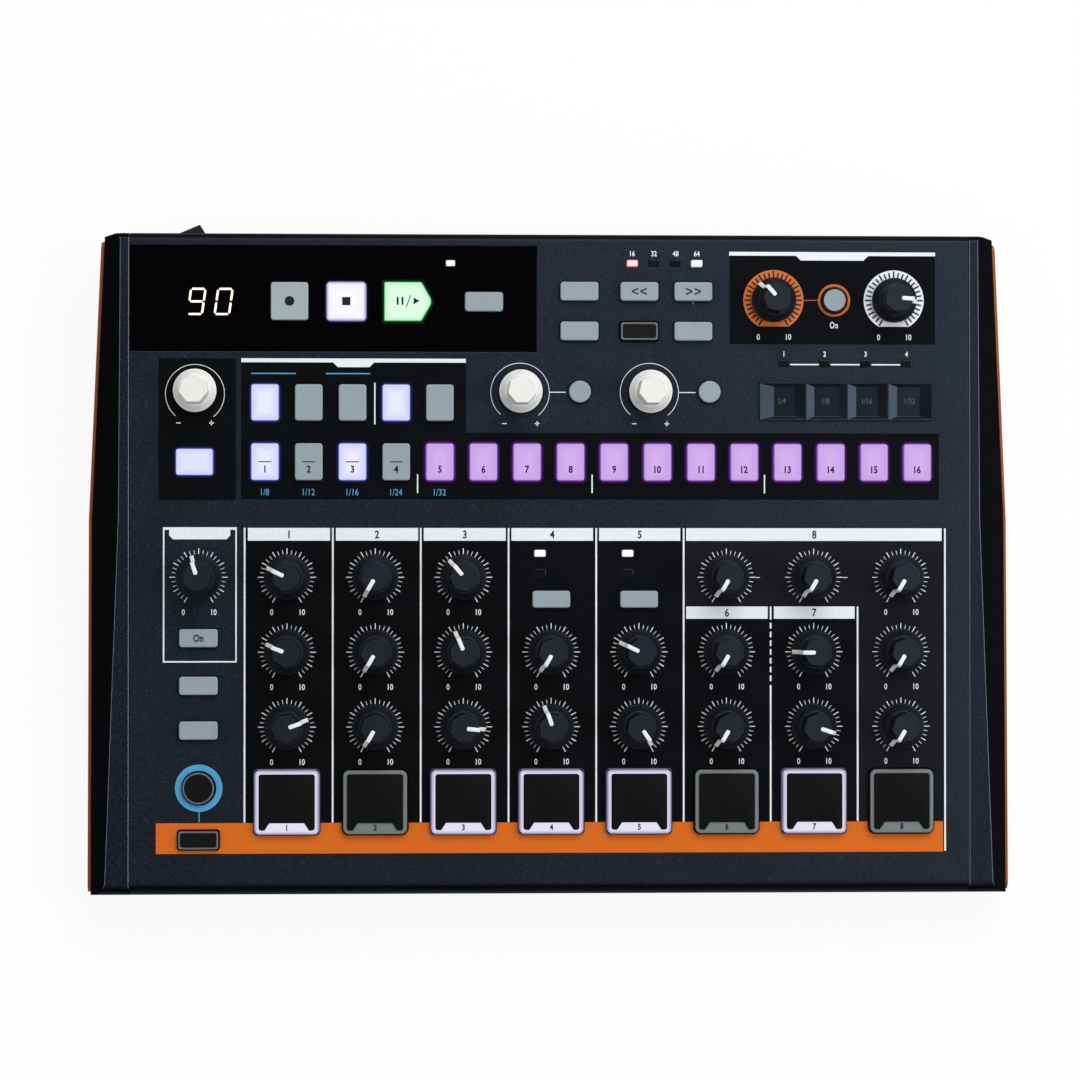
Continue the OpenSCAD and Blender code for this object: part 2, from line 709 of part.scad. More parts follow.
// One rotary control: body on the board and a collar bored for the shaft
module pot() {
  difference() {
    union() {
      box([-5, -5.5, board_top], [5, 5, board_top + 6]);
      rod(shaft_d + 2.6, board_top + 5.8, -sheet - 0.5);
    }
    rod(shaft_d + 2 * shaft_gap, board_top + 1.5, 0);
  }
}

module potentiometers() {
  color("#6d7075") {
    for (k = KNOBS) on_panel(k[1], k[2]) pot();
    for (k = ENCODERS) on_panel(k[1], k[2]) pot();
  }
}

// One key switch: housing with a guide well for the stem
module key_switch(s, d) {
  difference() {
    box([-s / 2, -s / 2, board_top], [s / 2, s / 2, board_top + 4.2]);
    rod(d + 0.8, board_top + 1.6, board_top + 5);
  }
}

module key_switches() {
  color("#2a2d33") {
    for (k = RECT_KEYS) on_panel(k[0], k[1]) key_switch(6.2, stem_d);
    for (k = ROUND_KEYS) on_panel(k[0], k[1]) key_switch(6.2, stem_d);
    for (k = PADS) on_panel(k[0], k[1]) key_switch(13, pad_stem_d);
  }
}
pad_stem_d = 5.6;

// Rocker housing, power inlet, data, sync and audio sockets along the rear wall
module rear_sockets() {
  color("#15161a") {
    rocker_housing();
    power_inlet();
    usb_socket();
    for (u = MIDI_U) midi_socket(u);
    for (u = SMALL_U) jack_socket(u, small_bore, 6, 8, 9, 12.5);
    for (u = BIG_U) jack_socket(u, big_bore, 9, 12, 15, 24);
  }
}

// Bezel and box of the rocker, with cross holes for its pivot stubs
module rocker_housing() {
  translate([ROCKER_U, 0, ROCKER_Z]) difference() {
    union() {
      box([-housing_x - 1.2, wall_y, -8.2], [housing_x + 1.2, wall_y + 1.5, 8.2]);
      box([-housing_x, pivot_y - 8, -7.1], [housing_x, wall_y + 0.2, 7.1]);
    }
    box([-opening_x, pivot_y - 6.6, -rocker_w / 2 - 0.3], [opening_x, rear_y + 6, rocker_w / 2 + 0.3]);
    translate([0, pivot_y, 0]) rod(pivot_d + 0.6, -6.9, 6.9);
  }
}

// Barrel inlet with its centre pin
module power_inlet() {
  difference() {
    union() {
      box([POWER_U - 4.5, wall_y - 14.5, main_top],
        [POWER_U + 4.5, wall_y - rear_t - 0.2, main_top + 10.8]);
      rear_rod(POWER_U, socket_z, 8, -0.8, 4);
    }
    rear_rod(POWER_U, socket_z, 6.4, -2, 11);
  }
  rear_rod(POWER_U, socket_z, 2, 1, 12);
}

// Square data socket: metal shell with its tongue
module usb_socket() {
  difference() {
    box([USB_U - 6, wall_y - 16, main_top], [USB_U + 6, wall_y + 0.8, main_top + 11]);
    box([USB_U - 4.2, wall_y - 9, socket_z - 3.8], [USB_U + 4.2, wall_y + 2, socket_z + 3.8]);
  }
  box([USB_U - 2.8, wall_y - 9.5, socket_z - 1.6], [USB_U + 2.8, wall_y - 1, socket_z + 1.6]);
}

// Round five-pin socket: collar, plug groove and pin holes
module midi_socket(u) {
  difference() {
    union() {
      box([u - 10, wall_y - rear_t - 10.2, main_top], [u + 10, wall_y - rear_t - 0.2, main_top + 19.2]);
      rear_rod(u, midi_z, 16, -0.6, 3);
    }
    difference() {
      rear_rod(u, midi_z, 14.2, -2, 8.5);
      rear_rod(u, midi_z, 12, 0.2, 9);
    }
    for (a = [-90, -45, 0, 45, 90]) {
      translate([5 * sin(a), 0, -5 * cos(a)]) rear_rod(u, midi_z, 1.8, -2, 8);
    }
  }
}

// Jack socket: body, threaded collar, ring nut and bore
module jack_socket(u, bore, collar, nut, body, depth) {
  difference() {
    union() {
      box([u - body / 2, wall_y - depth, main_top], [u + body / 2, wall_y - rear_t - 0.2, main_top + 11]);
      rear_rod(u, socket_z, collar, -1.5, 4);
      rear_rod(u, socket_z, nut, -1.4, 0);
    }
    rear_rod(u, socket_z, bore, -3, depth - 2);
  }
}

// ---- fasteners and feet ----

foot_stub_d = 4;

module foot_place(x, y) {
  mid_y = (front_y + rear_y) / 2;
  translate([x * (half_w - foot_inset), mid_y + y * (case_d / 2 - foot_inset), 0]) children();
}

module rubber_feet() {
  color("#0c0c0d") for (x = [-1, 1], y = [-1, 1]) {
    foot_place(x, y) {
      rod(foot_d - 1, 0, 0.6);
      rod(foot_d, 0.5, foot_h);
      rod(foot_stub_d, foot_h - 0.1, floor_z + 0.8);
    }
  }
}

// Pan-head screw with its axis along z; the head lies below z0
module screw(z0, length) {
  difference() {
    rod(head_d - 0.8, z0 - 1.7, z0);
    translate([0, 0, z0 - 1.7]) {
      box([-1.5, -0.3, -1], [1.5, 0.3, 0.7]);
      box([-0.3, -1.5, -1], [0.3, 1.5, 0.7]);
    }
  }
  rod(screw_d - 0.2, z0 - 0.1, z0 + length);
}

module case_screws() {
  color("#3c3f45") {
    for (s = LONG_STUDS) {
      seat = screw_seat(s[1]);
      on_panel(s[0], s[1]) screw(seat, board_top - seat + 6);
    }
    for (s = SHORT_STUDS) {
      on_panel(s[0], s[1]) screw(board_low, board_t + 5.5);
    }
    for (m = [-1, 1], y = screw_rows) {
      translate([m * (cheek_in + 3.2), y, 0]) cheek_screw();
    }
  }
}

// Short flat-head screw that joins the base plate to a cheek
module cheek_screw() {
  difference() {
    rod(head_d - 0.6, foot_h + 0.1, foot_h + 1.1);
    box([-1.5, -0.3, foot_h - 1], [1.5, 0.3, foot_h + 0.5]);
    box([-0.3, -1.5, foot_h - 1], [0.3, 1.5, foot_h + 0.5]);
  }
  rod(screw_d - 0.2, foot_h + 1, floor_z + 2.4);
}

// ---- moving controls ----

pivot_d = 2.4;
// The rocker's ends, middle and widest points, measured from its pivot
rocker_rise = 7;
rocker_dip = 5.3;
rocker_flare = 1.35;
flare_rise = 3.2;
// Half widths of the housing's opening and of its box
opening_x = rocker_l / 2 + rocker_flare + 0.9;
housing_x = opening_x + 0.95;
// The pivot lies so deep that the raised end reaches rocker_reach behind the case
pivot_y = rear_y + rocker_reach - rocker_l / 2 * sin(rocker_swing) - rocker_rise * cos(rocker_swing);

// Power rocker, resting with its inner end raised
module power_rocker() {
  h = rocker_l / 2;
  color("#17181b") translate([ROCKER_U, pivot_y, ROCKER_Z]) rotate([0, 0, rocker_swing]) {
    translate([0, 0, -rocker_w / 2]) linear_extrude(rocker_w) polygon([
      [-h, rocker_rise], [-h - rocker_flare, flare_rise], [-4.5, -3], [4.5, -3],
      [h + rocker_flare, flare_rise], [h, rocker_rise], [0, rocker_dip]
    ]);
    rod(pivot_d, -6.6, 6.6);
  }
}

// Height at which the grip stands clear of the skirt
grip_low = 4.6;

// Side profile of a knob's skirt, from the axis outwards
module skirt_profile(r) {
  polygon([
    [0, 0.6], [r - 0.4, 0.6], [r, 1], [r, 2], [r - 0.5, 2.6],
    [grip_d / 2 + 0.9, 3.7], [grip_d / 2 + 0.3, grip_low], [0, grip_low]
  ]);
}

// Side profile that rounds the corners of the grip and bevels its top
module grip_profile() {
  g = grip_d / 2;
  polygon([
    [0, 3], [g, 3], [g - 0.35, knob_h - 1.3], [g - 1, knob_h - 0.4],
    [g - 1.7, knob_h - 0.2], [0, knob_h - 0.2]
  ]);
}

// Knob: skirt, seven-sided grip and shaft; the pointer is a slim raised bar
module knob(skirt, pointed) {
  r = skirt / 2;
  g = grip_d / 2;
  flat = g - 0.62;
  rotate_extrude() skirt_profile(r);
  intersection() {
    rotate_extrude() grip_profile();
    rotate(90) linear_extrude(knob_h) circle(r = flat / cos(180 / 7), $fn = 7);
  }
  rod(shaft_d, board_top + 2.1, 4);
  if (pointed) {
    across_pointer() polygon([
      [0.9, knob_h], [g - 1.6, knob_h], [g - 0.9, knob_h - 0.3], [g - 0.1, knob_h - 1.2],
      [g + 0.3, grip_low + 0.3], [g + 1, 3.9], [r - 0.4, 2.8], [r + 0.1, 2.2], [r + 0.1, 1.4], [1, 1.4]
    ]);
  }
}

// Extrudes a pointer's side view across its width
module across_pointer() {
  rotate([90, 0, 90]) translate([0, 0, -pointer_w / 2]) linear_extrude(pointer_w) children();
}

module pointer_knob(index) {
  k = KNOBS[index];
  color("#202228") on_panel(k[1], k[2]) rotate(-k[3]) knob(skirt_d, true);
}

module encoder_knob(index) {
  k = ENCODERS[index];
  color("#ecece8") on_panel(k[1], k[2]) knob(enc_skirt_d, false);
}

// Stem below a key cap, down into its switch
module stem(d, travel) {
  rod(d, board_top + 2 + travel, -2.4);
}

// Rectangular key cap with a softened top edge, on its stem
module key(k) {
  on_panel(k[0], k[1]) {
    round_block(k[2], k[3], 0.9, -2.6, cap_h - 0.35);
    round_block(k[2] - 0.6, k[3] - 0.6, 0.7, cap_h - 0.5, cap_h);
    stem(stem_d, press);
  }
}

// Round key cap on its stem
module round_key(k) {
  on_panel(k[0], k[1]) {
    rod(k[2], -2.6, cap_h - 0.35);
    rod(k[2] - 0.6, cap_h - 0.5, cap_h);
    stem(stem_d, press);
  }
}

module record_button() {
  color("#8f9a9f") key(RECORD);
}

module stop_button() {
  color("#f0f0ff") key(STOP);
}

module play_button() {
  color("#b9f4c4") on_panel(PLAY[0], PLAY[1]) {
    translate([0, 0, -2.6]) linear_extrude(cap_h + 2.25) play_outline();
    translate([0, 0, cap_h - 0.5]) linear_extrude(0.5) play_outline(-0.3);
    stem(stem_d, press);
  }
}

module function_buttons() {
  color("#8f9a9f") for (k = FUNCTION_KEYS) key(k);
}

module round_buttons() {
  color("#8f9a9f") for (k = ROUND_KEYS) round_key(k);
}

module mode_buttons() {
  color("#d9d4ee") for (k = MODE_KEYS) key(k);
}

module step_buttons() {
  color("#d0a8ef") for (k = STEP_KEYS) key(k);
}

// Drum pad: rim, raised square of rubber notched at its front edge, and a stem on the force sensor
module pad(index) {
  k = PADS[index];
  inner = pad_s - 2 * pad_rim;
  color("#b9b6cc") on_panel(k[0], k[1]) {
    round_block(pad_s, pad_s, pad_corner, -2.6, pad_h - 0.4);
    round_block(pad_s - 0.8, pad_s - 0.8, pad_corner - 0.4, pad_h - 0.6, pad_h);
    difference() {
      round_block(inner, inner, 1, pad_h - 0.2, pad_h + 0.5);
      translate([0, -inner / 2, pad_h]) linear_extrude(1) {
        polygon([
          [-tab_low, -1], [-tab_low, 0], [-tab_high, tab_d], [tab_high, tab_d], [tab_low, 0], [tab_low, -1]
        ]);
      }
    }
    stem(pad_stem_d, pad_press);
  }
}
// Notch of a pad: half its width at the rubber's edge and further in, and its depth
tab_low = 7.5;
tab_high = 5.9;
tab_d = 2.5;

// ---- nodes ----

top_panel();
display_window();
digit_display();
touch_strip();
indicator_lenses();
left_cheek();
right_cheek();
side_inserts();
base_tray();
control_board();
main_board();
potentiometers();
key_switches();
rear_sockets();
rubber_feet();
case_screws();
power_rocker();
record_button();
stop_button();
play_button();
function_buttons();
round_buttons();
mode_buttons();
step_buttons();
for (k = [0:7]) {
  pad(k);
}
for (k = [0:len(KNOBS) - 1]) {
  pointer_knob(k);
}
for (k = [0:len(ENCODERS) - 1]) {
  encoder_knob(k);
}
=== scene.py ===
import json
import math

import bpy
from mathutils import Matrix, Vector


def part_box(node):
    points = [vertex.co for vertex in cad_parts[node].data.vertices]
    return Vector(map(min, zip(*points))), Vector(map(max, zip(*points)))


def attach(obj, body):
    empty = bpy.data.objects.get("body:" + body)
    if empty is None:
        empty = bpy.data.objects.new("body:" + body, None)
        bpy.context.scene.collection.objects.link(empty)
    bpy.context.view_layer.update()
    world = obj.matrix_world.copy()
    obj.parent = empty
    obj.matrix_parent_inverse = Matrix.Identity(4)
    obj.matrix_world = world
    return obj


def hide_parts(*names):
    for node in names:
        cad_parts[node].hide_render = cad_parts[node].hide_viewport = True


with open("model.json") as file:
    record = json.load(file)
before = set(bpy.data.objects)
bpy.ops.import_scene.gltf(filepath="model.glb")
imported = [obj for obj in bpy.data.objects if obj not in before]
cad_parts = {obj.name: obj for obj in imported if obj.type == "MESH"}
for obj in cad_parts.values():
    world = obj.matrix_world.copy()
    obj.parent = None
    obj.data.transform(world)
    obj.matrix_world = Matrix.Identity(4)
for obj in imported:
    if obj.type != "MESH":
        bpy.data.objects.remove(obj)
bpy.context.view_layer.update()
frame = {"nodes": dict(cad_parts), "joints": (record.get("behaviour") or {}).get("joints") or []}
mm = 0.001
close = 0.001  # places this near to each other, in mm, count as one
print("frame loaded:", len(frame["nodes"]), "nodes")

# the sloping panel: u runs right, v up the slope from the front edge, w out of its face, all in mm
panel = {"tilt": 4.0, "frontHeight": 22.0, "printLow": -0.02, "printTop": 0.04}
panelPlane = Matrix.Translation((0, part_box("top_panel")[0].y, panel["frontHeight"] * mm)) @ Matrix.Rotation(
    math.radians(panel["tilt"]), 4, "X")
panelBack = panelPlane.inverted()
printLow, printTop = panel["printLow"], panel["printTop"]


# small tools for modelling

def pickNothing():
    if bpy.context.mode != "OBJECT":
        bpy.ops.object.mode_set(mode="OBJECT")
    bpy.ops.object.select_all(action="DESELECT")


def pickOnly(piece):
    pickNothing()
    piece.select_set(True)
    bpy.context.view_layer.objects.active = piece


def applyPlace():
    bpy.ops.object.transform_apply(location=True, rotation=True, scale=True)


def moved(piece, u, v, turn=0.0):  # turn is clockwise, in degrees
    pickOnly(piece)
    piece.rotation_euler = (0, 0, math.radians(-turn))
    piece.location = (u * mm, v * mm, 0)
    applyPlace()
    return piece


def addBlock(low, high):  # a block between two corners
    pickNothing()
    middle = [(a + b) / 2 * mm for a, b in zip(low, high)]
    bpy.ops.mesh.primitive_cube_add(size=1, location=middle, scale=[(b - a) * mm for a, b in zip(low, high)])
    applyPlace()
    return bpy.context.active_object


def addRod(u, v, radius, low, high, sides=48, turn=0.0):
    pickNothing()
    bpy.ops.mesh.primitive_cylinder_add(
        vertices=sides, radius=radius * mm, depth=(high - low) * mm,
        location=(u * mm, v * mm, (low + high) / 2 * mm), rotation=(0, 0, math.radians(turn)))
    applyPlace()
    return bpy.context.active_object


def pick(piece, kind, wanted):  # goes into edit mode with the wanted points, edges or faces selected
    pickOnly(piece)
    bpy.ops.object.mode_set(mode="EDIT")
    bpy.ops.mesh.select_mode(type=kind)
    bpy.ops.mesh.select_all(action="DESELECT")
    bpy.ops.object.mode_set(mode="OBJECT")
    data = piece.data
    for part in {"VERT": data.vertices, "EDGE": data.edges, "FACE": data.polygons}[kind]:
        part.select = bool(wanted(part))
    bpy.ops.object.mode_set(mode="EDIT")


def pickEdges(piece, wanted):  # by both ends
    pick(piece, "EDGE", lambda edge: wanted(*(piece.data.vertices[k].co / mm for k in edge.vertices)))


def pickFaces(piece, wanted):  # by centre and normal
    pick(piece, "FACE", lambda face: wanted(face.center / mm, face.normal))


def pickTop(piece, height):
    pickFaces(piece, lambda centre, normal: normal.z > 0.99 and abs(centre.z - height) < 2 * close)


def endEdit():
    bpy.ops.object.mode_set(mode="OBJECT")


def bevelEdges(piece, wanted, width, segments=1):
    pickEdges(piece, wanted)
    bpy.ops.mesh.bevel(offset=width * mm, segments=segments, affect="EDGES")
    endEdit()


def upright(a, b):
    return abs(a.z - b.z) > close and (a.xy - b.xy).length < close


def atHeight(height):
    return lambda a, b: abs(a.z - height) < 2 * close and abs(b.z - height) < 2 * close


def insetPicked(steps):  # rings of faces on the picked face; each step is how far in and how far down
    for inward, down in steps:
        bpy.ops.mesh.inset(thickness=inward * mm, depth=0)
        bpy.ops.transform.translate(value=(0, 0, -down * mm))
    endEdit()


def insetTop(piece, height, steps):
    pickTop(piece, height)
    insetPicked(steps)


def dishTop(piece, height, halfWide, halfDeep, steps):  # the same by drawing the face in, for small corners
    pickTop(piece, height)
    inset = 0.0
    for inward, down in steps:
        bpy.ops.mesh.extrude_region_move()
        across = (halfWide - inset - inward) / (halfWide - inset)
        along = (halfDeep - inset - inward) / (halfDeep - inset)
        bpy.ops.transform.resize(value=(across, along, 1), center_override=(0, 0, 0))
        bpy.ops.transform.translate(value=(0, 0, -down * mm))
        inset += inward
    endEdit()


def hollow(piece, inward):  # turns a plate into a frame of that width
    pickFaces(piece, lambda centre, normal: abs(normal.z) > 0.99)
    bpy.ops.mesh.inset(thickness=inward * mm, depth=0)
    bpy.ops.mesh.delete(type="FACE")
    bpy.ops.mesh.select_mode(type="EDGE")
    bpy.ops.mesh.select_all(action="DESELECT")
    bpy.ops.mesh.select_non_manifold()
    bpy.ops.mesh.bridge_edge_loops()
    bpy.ops.mesh.select_all(action="SELECT")
    bpy.ops.mesh.normals_make_consistent(inside=False)
    endEdit()
    return piece


def smooth(piece, angle=35):
    pickOnly(piece)
    bpy.ops.object.shade_smooth_by_angle(angle=math.radians(angle))


def joined(pieces):
    pickNothing()
    for piece in pieces:
        piece.select_set(True)
    bpy.context.view_layer.objects.active = pieces[0]
    if len(pieces) > 1:
        bpy.ops.object.join()
    return bpy.context.active_object


def copyOf(piece):
    pickOnly(piece)
    bpy.ops.object.duplicate(linked=False)
    return bpy.context.active_object


def settle(piece, u=0.0, v=0.0, turn=0.0):  # onto the sloping panel, with its place in its mesh
    pickOnly(piece)
    piece.matrix_world = panelPlane @ Matrix.Translation((u * mm, v * mm, 0)) @ Matrix.Rotation(
        math.radians(-turn), 4, "Z")
    applyPlace()
    return piece


def dress(piece, name, body, material, slot, stands=()):
    piece.name = piece.data.name = name
    piece.data.materials.clear()
    piece.data.materials.append(material)
    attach(piece, body)
    if stands:
        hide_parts(*stands)


def throwAway(*pieces):
    for piece in pieces:
        bpy.data.meshes.remove(piece.data)


def solidBoxes(node):  # lowest and highest corner, in panel mm, of each separate solid of a CAD node
    mesh = frame["nodes"][node].data
    first, owner = {}, list(range(len(mesh.vertices)))

    def root(k):
        while owner[k] != k:
            owner[k] = owner[owner[k]]
            k = owner[k]
        return k

    for point in mesh.vertices:
        key = tuple(round(c * 1e6) for c in point.co)
        owner[root(point.index)] = root(first.setdefault(key, point.index))
    for face in mesh.polygons:
        for k in face.vertices[1:]:
            owner[root(k)] = root(face.vertices[0])
    groups = {}
    for point in mesh.vertices:
        groups.setdefault(root(point.index), []).append(panelBack @ point.co / mm)
    boxes = []
    for points in groups.values():
        low = Vector([min(p[k] for p in points) for k in range(3)])
        high = Vector([max(p[k] for p in points) for k in range(3)])
        boxes.append((low, high))
    return sorted(boxes, key=lambda box: (round(box[0].x), round(box[0].y)))


def middleOf(box):
    low, high = box
    return (low.x + high.x) / 2, (low.y + high.y) / 2


def isAt(u, v, spots):  # within 1 mm of one of the spots
    return any(abs(u - a) < 1 and abs(v - b) < 1 for a, b in spots)


# finishes

usual = {  # what a finish has where its own dictionary says nothing else; sizes in mm
    "grain": 0.35, "mottle": (0.36, 0.66), "clouds": 18, "cloudRange": (0.3, 0.7), "rough": (0.5, 0.6),
    "flakes": (0.6, 0.7), "bump": 0.3, "relief": 0.03, "metal": 0.0, "specular": 0.5, "tint": "#ffffff",
    "coat": 0.0, "coatRough": 0.08, "edgeSamples": 6, "wear": 0.6, "wearFrom": (0.99, 0.8),
}
usualLit = {  # the same for translucent silicone with a lamp below
    "cloud": 3.0, "cloudRange": (0.3, 0.75), "cloudShare": 0.12, "mottle": 0.3, "mottleRange": (0.3, 0.7),
    "grain": 0.25, "bump": 0.15, "relief": 0.02, "rough": 0.5, "specular": 0.3, "body": "#4a4a58",
    "bodyShade": "#56565f",
}


def hexColor(text):  # a web colour as the linear values that shaders take
    parts = [int(text[k:k + 2], 16) / 255 for k in (1, 3, 5)]
    return [((c + 0.055) / 1.055) ** 2.4 if c > 0.04045 else c / 12.92 for c in parts] + [1.0]


def addNode(owner, kind, **values):  # owner is a material or the world
    node = owner.node_tree.nodes.new(kind)
    for key, value in values.items():
        if hasattr(node, key):
            setattr(node, key, value)
        else:
            node.inputs[key.replace("_", " ")].default_value = value
    return node


def feed(owner, socket, value):  # value is the output of a node, or fixed
    if isinstance(value, bpy.types.NodeSocket):
        owner.node_tree.links.new(value, socket)
    else:
        socket.default_value = value


def mixColors(owner, factor, first, second):
    mix = addNode(owner, "ShaderNodeMix", data_type="RGBA")
    for k, value in ((0, factor), (6, first), (7, second)):
        feed(owner, mix.inputs[k], value)
    return mix.outputs[2]


def mixValues(owner, factor, first, second):
    mix = addNode(owner, "ShaderNodeMix")
    for k, value in ((0, factor), (2, first), (3, second)):
        feed(owner, mix.inputs[k], value)
    return mix.outputs[0]


def valueStep(owner, operation, first, second):
    node = addNode(owner, "ShaderNodeMath", operation=operation)
    feed(owner, node.inputs[0], first)
    feed(owner, node.inputs[1], second)
    return node.outputs[0]


def vectorStep(owner, operation, first, second=(0, 0, 0)):
    node = addNode(owner, "ShaderNodeVectorMath", operation=operation)
    feed(owner, node.inputs[0], first)
    feed(owner, node.inputs[1], second)
    return node.outputs["Value" if operation == "DOT_PRODUCT" else "Vector"]


def rangeOf(owner, value, low, high, toLow=0.0, toHigh=1.0):
    node = addNode(owner, "ShaderNodeMapRange")
    feed(owner, node.inputs["Value"], value)
    for name, number in (("From Min", low), ("From Max", high), ("To Min", toLow), ("To Max", toHigh)):
        node.inputs[name].default_value = number
    return node.outputs["Result"]


def flatNormal(material):
    return addNode(material, "ShaderNodeNewGeometry").outputs["Normal"]


def noise(material, size, detail=3.0):  # size is that of the grains, in mm
    place = addNode(material, "ShaderNodeTexCoord").outputs["Object"]
    node = addNode(material, "ShaderNodeTexNoise", Scale=1 / (size * mm), Detail=detail, Roughness=0.6)
    feed(material, node.inputs["Vector"], place)
    return node.outputs["Fac"]


def newMaterial(name):
    material = bpy.data.materials.new(name)
    material.use_nodes = True
    return material, material.node_tree.nodes["Principled BSDF"].inputs


def surface(name, own):
    look = {**usual, **own}
    material, sockets = newMaterial(name)
    grain = noise(material, look["grain"])
    clouds = noise(material, look["clouds"], 2.0)
    color = mixColors(material, rangeOf(material, grain, *look["mottle"]), hexColor(look["color"]),
                      hexColor(look["shade"]))
    gloss = look["specular"]
    if "speck" in look:  # sparse lighter flakes in a powder coat
        flakes = rangeOf(material, noise(material, look["speckSize"], 1.0), *look["flakes"])
        color = mixColors(material, flakes, color, hexColor(look["speck"]))
    if "zones" in look:
        color, inked = paintZones(material, color, look["zones"])
        gloss = mixValues(material, inked, gloss, look["zoneSpecular"])
    bump = addNode(material, "ShaderNodeBump", Strength=look["bump"], Distance=look["relief"] * mm)
    feed(material, bump.inputs["Height"], grain)
    if "edge" in look:  # lighter edges, partly wear and partly a painted highlight where edges catch the light, softened by the bevel's own normal
        radius = look["edgeWidth"] * mm
        bevel = addNode(material, "ShaderNodeBevel", samples=look["edgeSamples"], Radius=radius)
        turned = vectorStep(material, "DOT_PRODUCT", bevel.outputs["Normal"], flatNormal(material))
        edgeWearAndHighlight = rangeOf(material, turned, *look["wearFrom"], 0.0, look["wear"])
        color = mixColors(material, edgeWearAndHighlight, color, hexColor(look["edge"]))
        feed(material, bump.inputs["Normal"], bevel.outputs["Normal"])
    if "turned" in look:  # painted shade: faces that turn away from the panel's plane get a darker colour and less gloss
        outward = panelPlane.to_3x3() @ Vector((0, 0, 1))
        facing = vectorStep(material, "DOT_PRODUCT", flatNormal(material), outward)
        away = rangeOf(material, facing, *look["turnedFrom"])
        color = mixColors(material, away, color, hexColor(look["turned"]))
        gloss = mixValues(material, away, gloss, look["turnedSpecular"])
    feed(material, sockets["Base Color"], color)
    feed(material, sockets["Roughness"], rangeOf(material, clouds, *look["cloudRange"], *look["rough"]))
    feed(material, sockets["Normal"], bump.outputs["Normal"])
    feed(material, sockets["Specular IOR Level"], gloss)
    feed(material, sockets["Specular Tint"], hexColor(look["tint"]))
    feed(material, sockets["Metallic"], look["metal"])
    feed(material, sockets["Coat Weight"], look["coat"])
    feed(material, sockets["Coat Roughness"], look["coatRough"])
    if "glow" in look:
        feed(material, sockets["Emission Color"], hexColor(look["glow"]))
        feed(material, sockets["Emission Strength"], look["glowStrength"])
    return material


def paintZones(material, under, zones):  # printed rectangles in panel mm
    place = addNode(material, "ShaderNodeTexCoord").outputs["Object"]
    softEdge = 0.03 * mm
    inked = 0.0
    for left, front, right, rear, color in zones:
        low, high = (panelPlane @ Vector((u * mm, v * mm, 0)) for u, v in ((left, front), (right, rear)))
        away = vectorStep(material, "SUBTRACT", place, (low + high) / 2)
        past = vectorStep(material, "SUBTRACT", vectorStep(material, "ABSOLUTE", away), (high - low) / 2)
        parts = addNode(material, "ShaderNodeSeparateXYZ")
        feed(material, parts.inputs[0], past)
        furthest = valueStep(material, "MAXIMUM", parts.outputs[0], parts.outputs[1])
        inside = rangeOf(material, furthest, softEdge, -softEdge)
        under = mixColors(material, inside, under, hexColor(color))
        inked = valueStep(material, "MAXIMUM", inked, inside)
    return under, inked


def litSurface(name, own):  # its "rim" attribute runs from 0 in the middle to 1 at the edge
    look = {**usualLit, **own}
    material, sockets = newMaterial(name)
    ramp = addNode(material, "ShaderNodeValToRGB")
    rim = addNode(material, "ShaderNodeAttribute", attribute_name="rim")
    feed(material, ramp.inputs["Fac"], rim.outputs["Fac"])
    stops = ramp.color_ramp.elements
    stops[0].color, stops[1].color = hexColor(look["middle"]), hexColor(look["edge"])
    stops.new(look["betweenAt"]).color = hexColor(look["between"])
    clouds = rangeOf(material, noise(material, look["cloud"]), *look["cloudRange"], 0.0, look["cloudShare"])
    light = mixColors(material, clouds, ramp.outputs["Color"], hexColor(look["middle"]))
    feed(material, sockets["Emission Color"], light)
    feed(material, sockets["Emission Strength"], look["strength"])
    mottle = rangeOf(material, noise(material, look["mottle"]), *look["mottleRange"])
    body = mixColors(material, mottle, hexColor(look["body"]), hexColor(look["bodyShade"]))
    feed(material, sockets["Base Color"], body)
    bump = addNode(material, "ShaderNodeBump", Strength=look["bump"], Distance=look["relief"] * mm)
    feed(material, bump.inputs["Height"], noise(material, look["grain"]))
    feed(material, sockets["Normal"], bump.outputs["Normal"])
    feed(material, sockets["Roughness"], look["rough"])
    feed(material, sockets["Specular IOR Level"], look["specular"])
    return material


rimDepth = 0.3  # in mm; what lies further below the top counts as edge


def markRim(piece, halfWide, halfDeep, reach, top):  # writes "rim" on a cap that is still at the origin
    values = piece.data.attributes.new("rim", "FLOAT", "POINT").data
    for point in piece.data.vertices:
        u, v, w = point.co / mm
        inside = min(halfWide - abs(u), halfDeep - abs(v))
        values[point.index].value = 1.0 if w < top - rimDepth else max(0.0, min(1.0, 1 - inside / reach))


def nodeFinish(material, *nodes):
    for name in nodes:
        node = frame["nodes"][name]
        if not node.material_slots:
            node.data.materials.append(material)
        for place in node.material_slots:
            place.material = material


# camera, light and floor

camera = {  # seen from the panel, in mm
    "place": (-57.862, 109.646, 1250.132), "turn": (-0.008766, 0.043204, -0.000314), "lens": 122.17,
    "near": 0.05, "far": 20,
}
bpy.ops.object.camera_add()
eye = bpy.context.active_object
turn = Vector(camera["turn"])
eye.matrix_world = panelPlane @ Matrix.Translation(Vector(camera["place"]) * mm) @ Matrix.Rotation(
    -turn.length, 4, turn.normalized())
eye.data.lens = camera["lens"]
eye.data.clip_start, eye.data.clip_end = camera["near"], camera["far"]
bpy.context.scene.camera = eye
bpy.context.scene.view_settings.view_transform = "Standard"

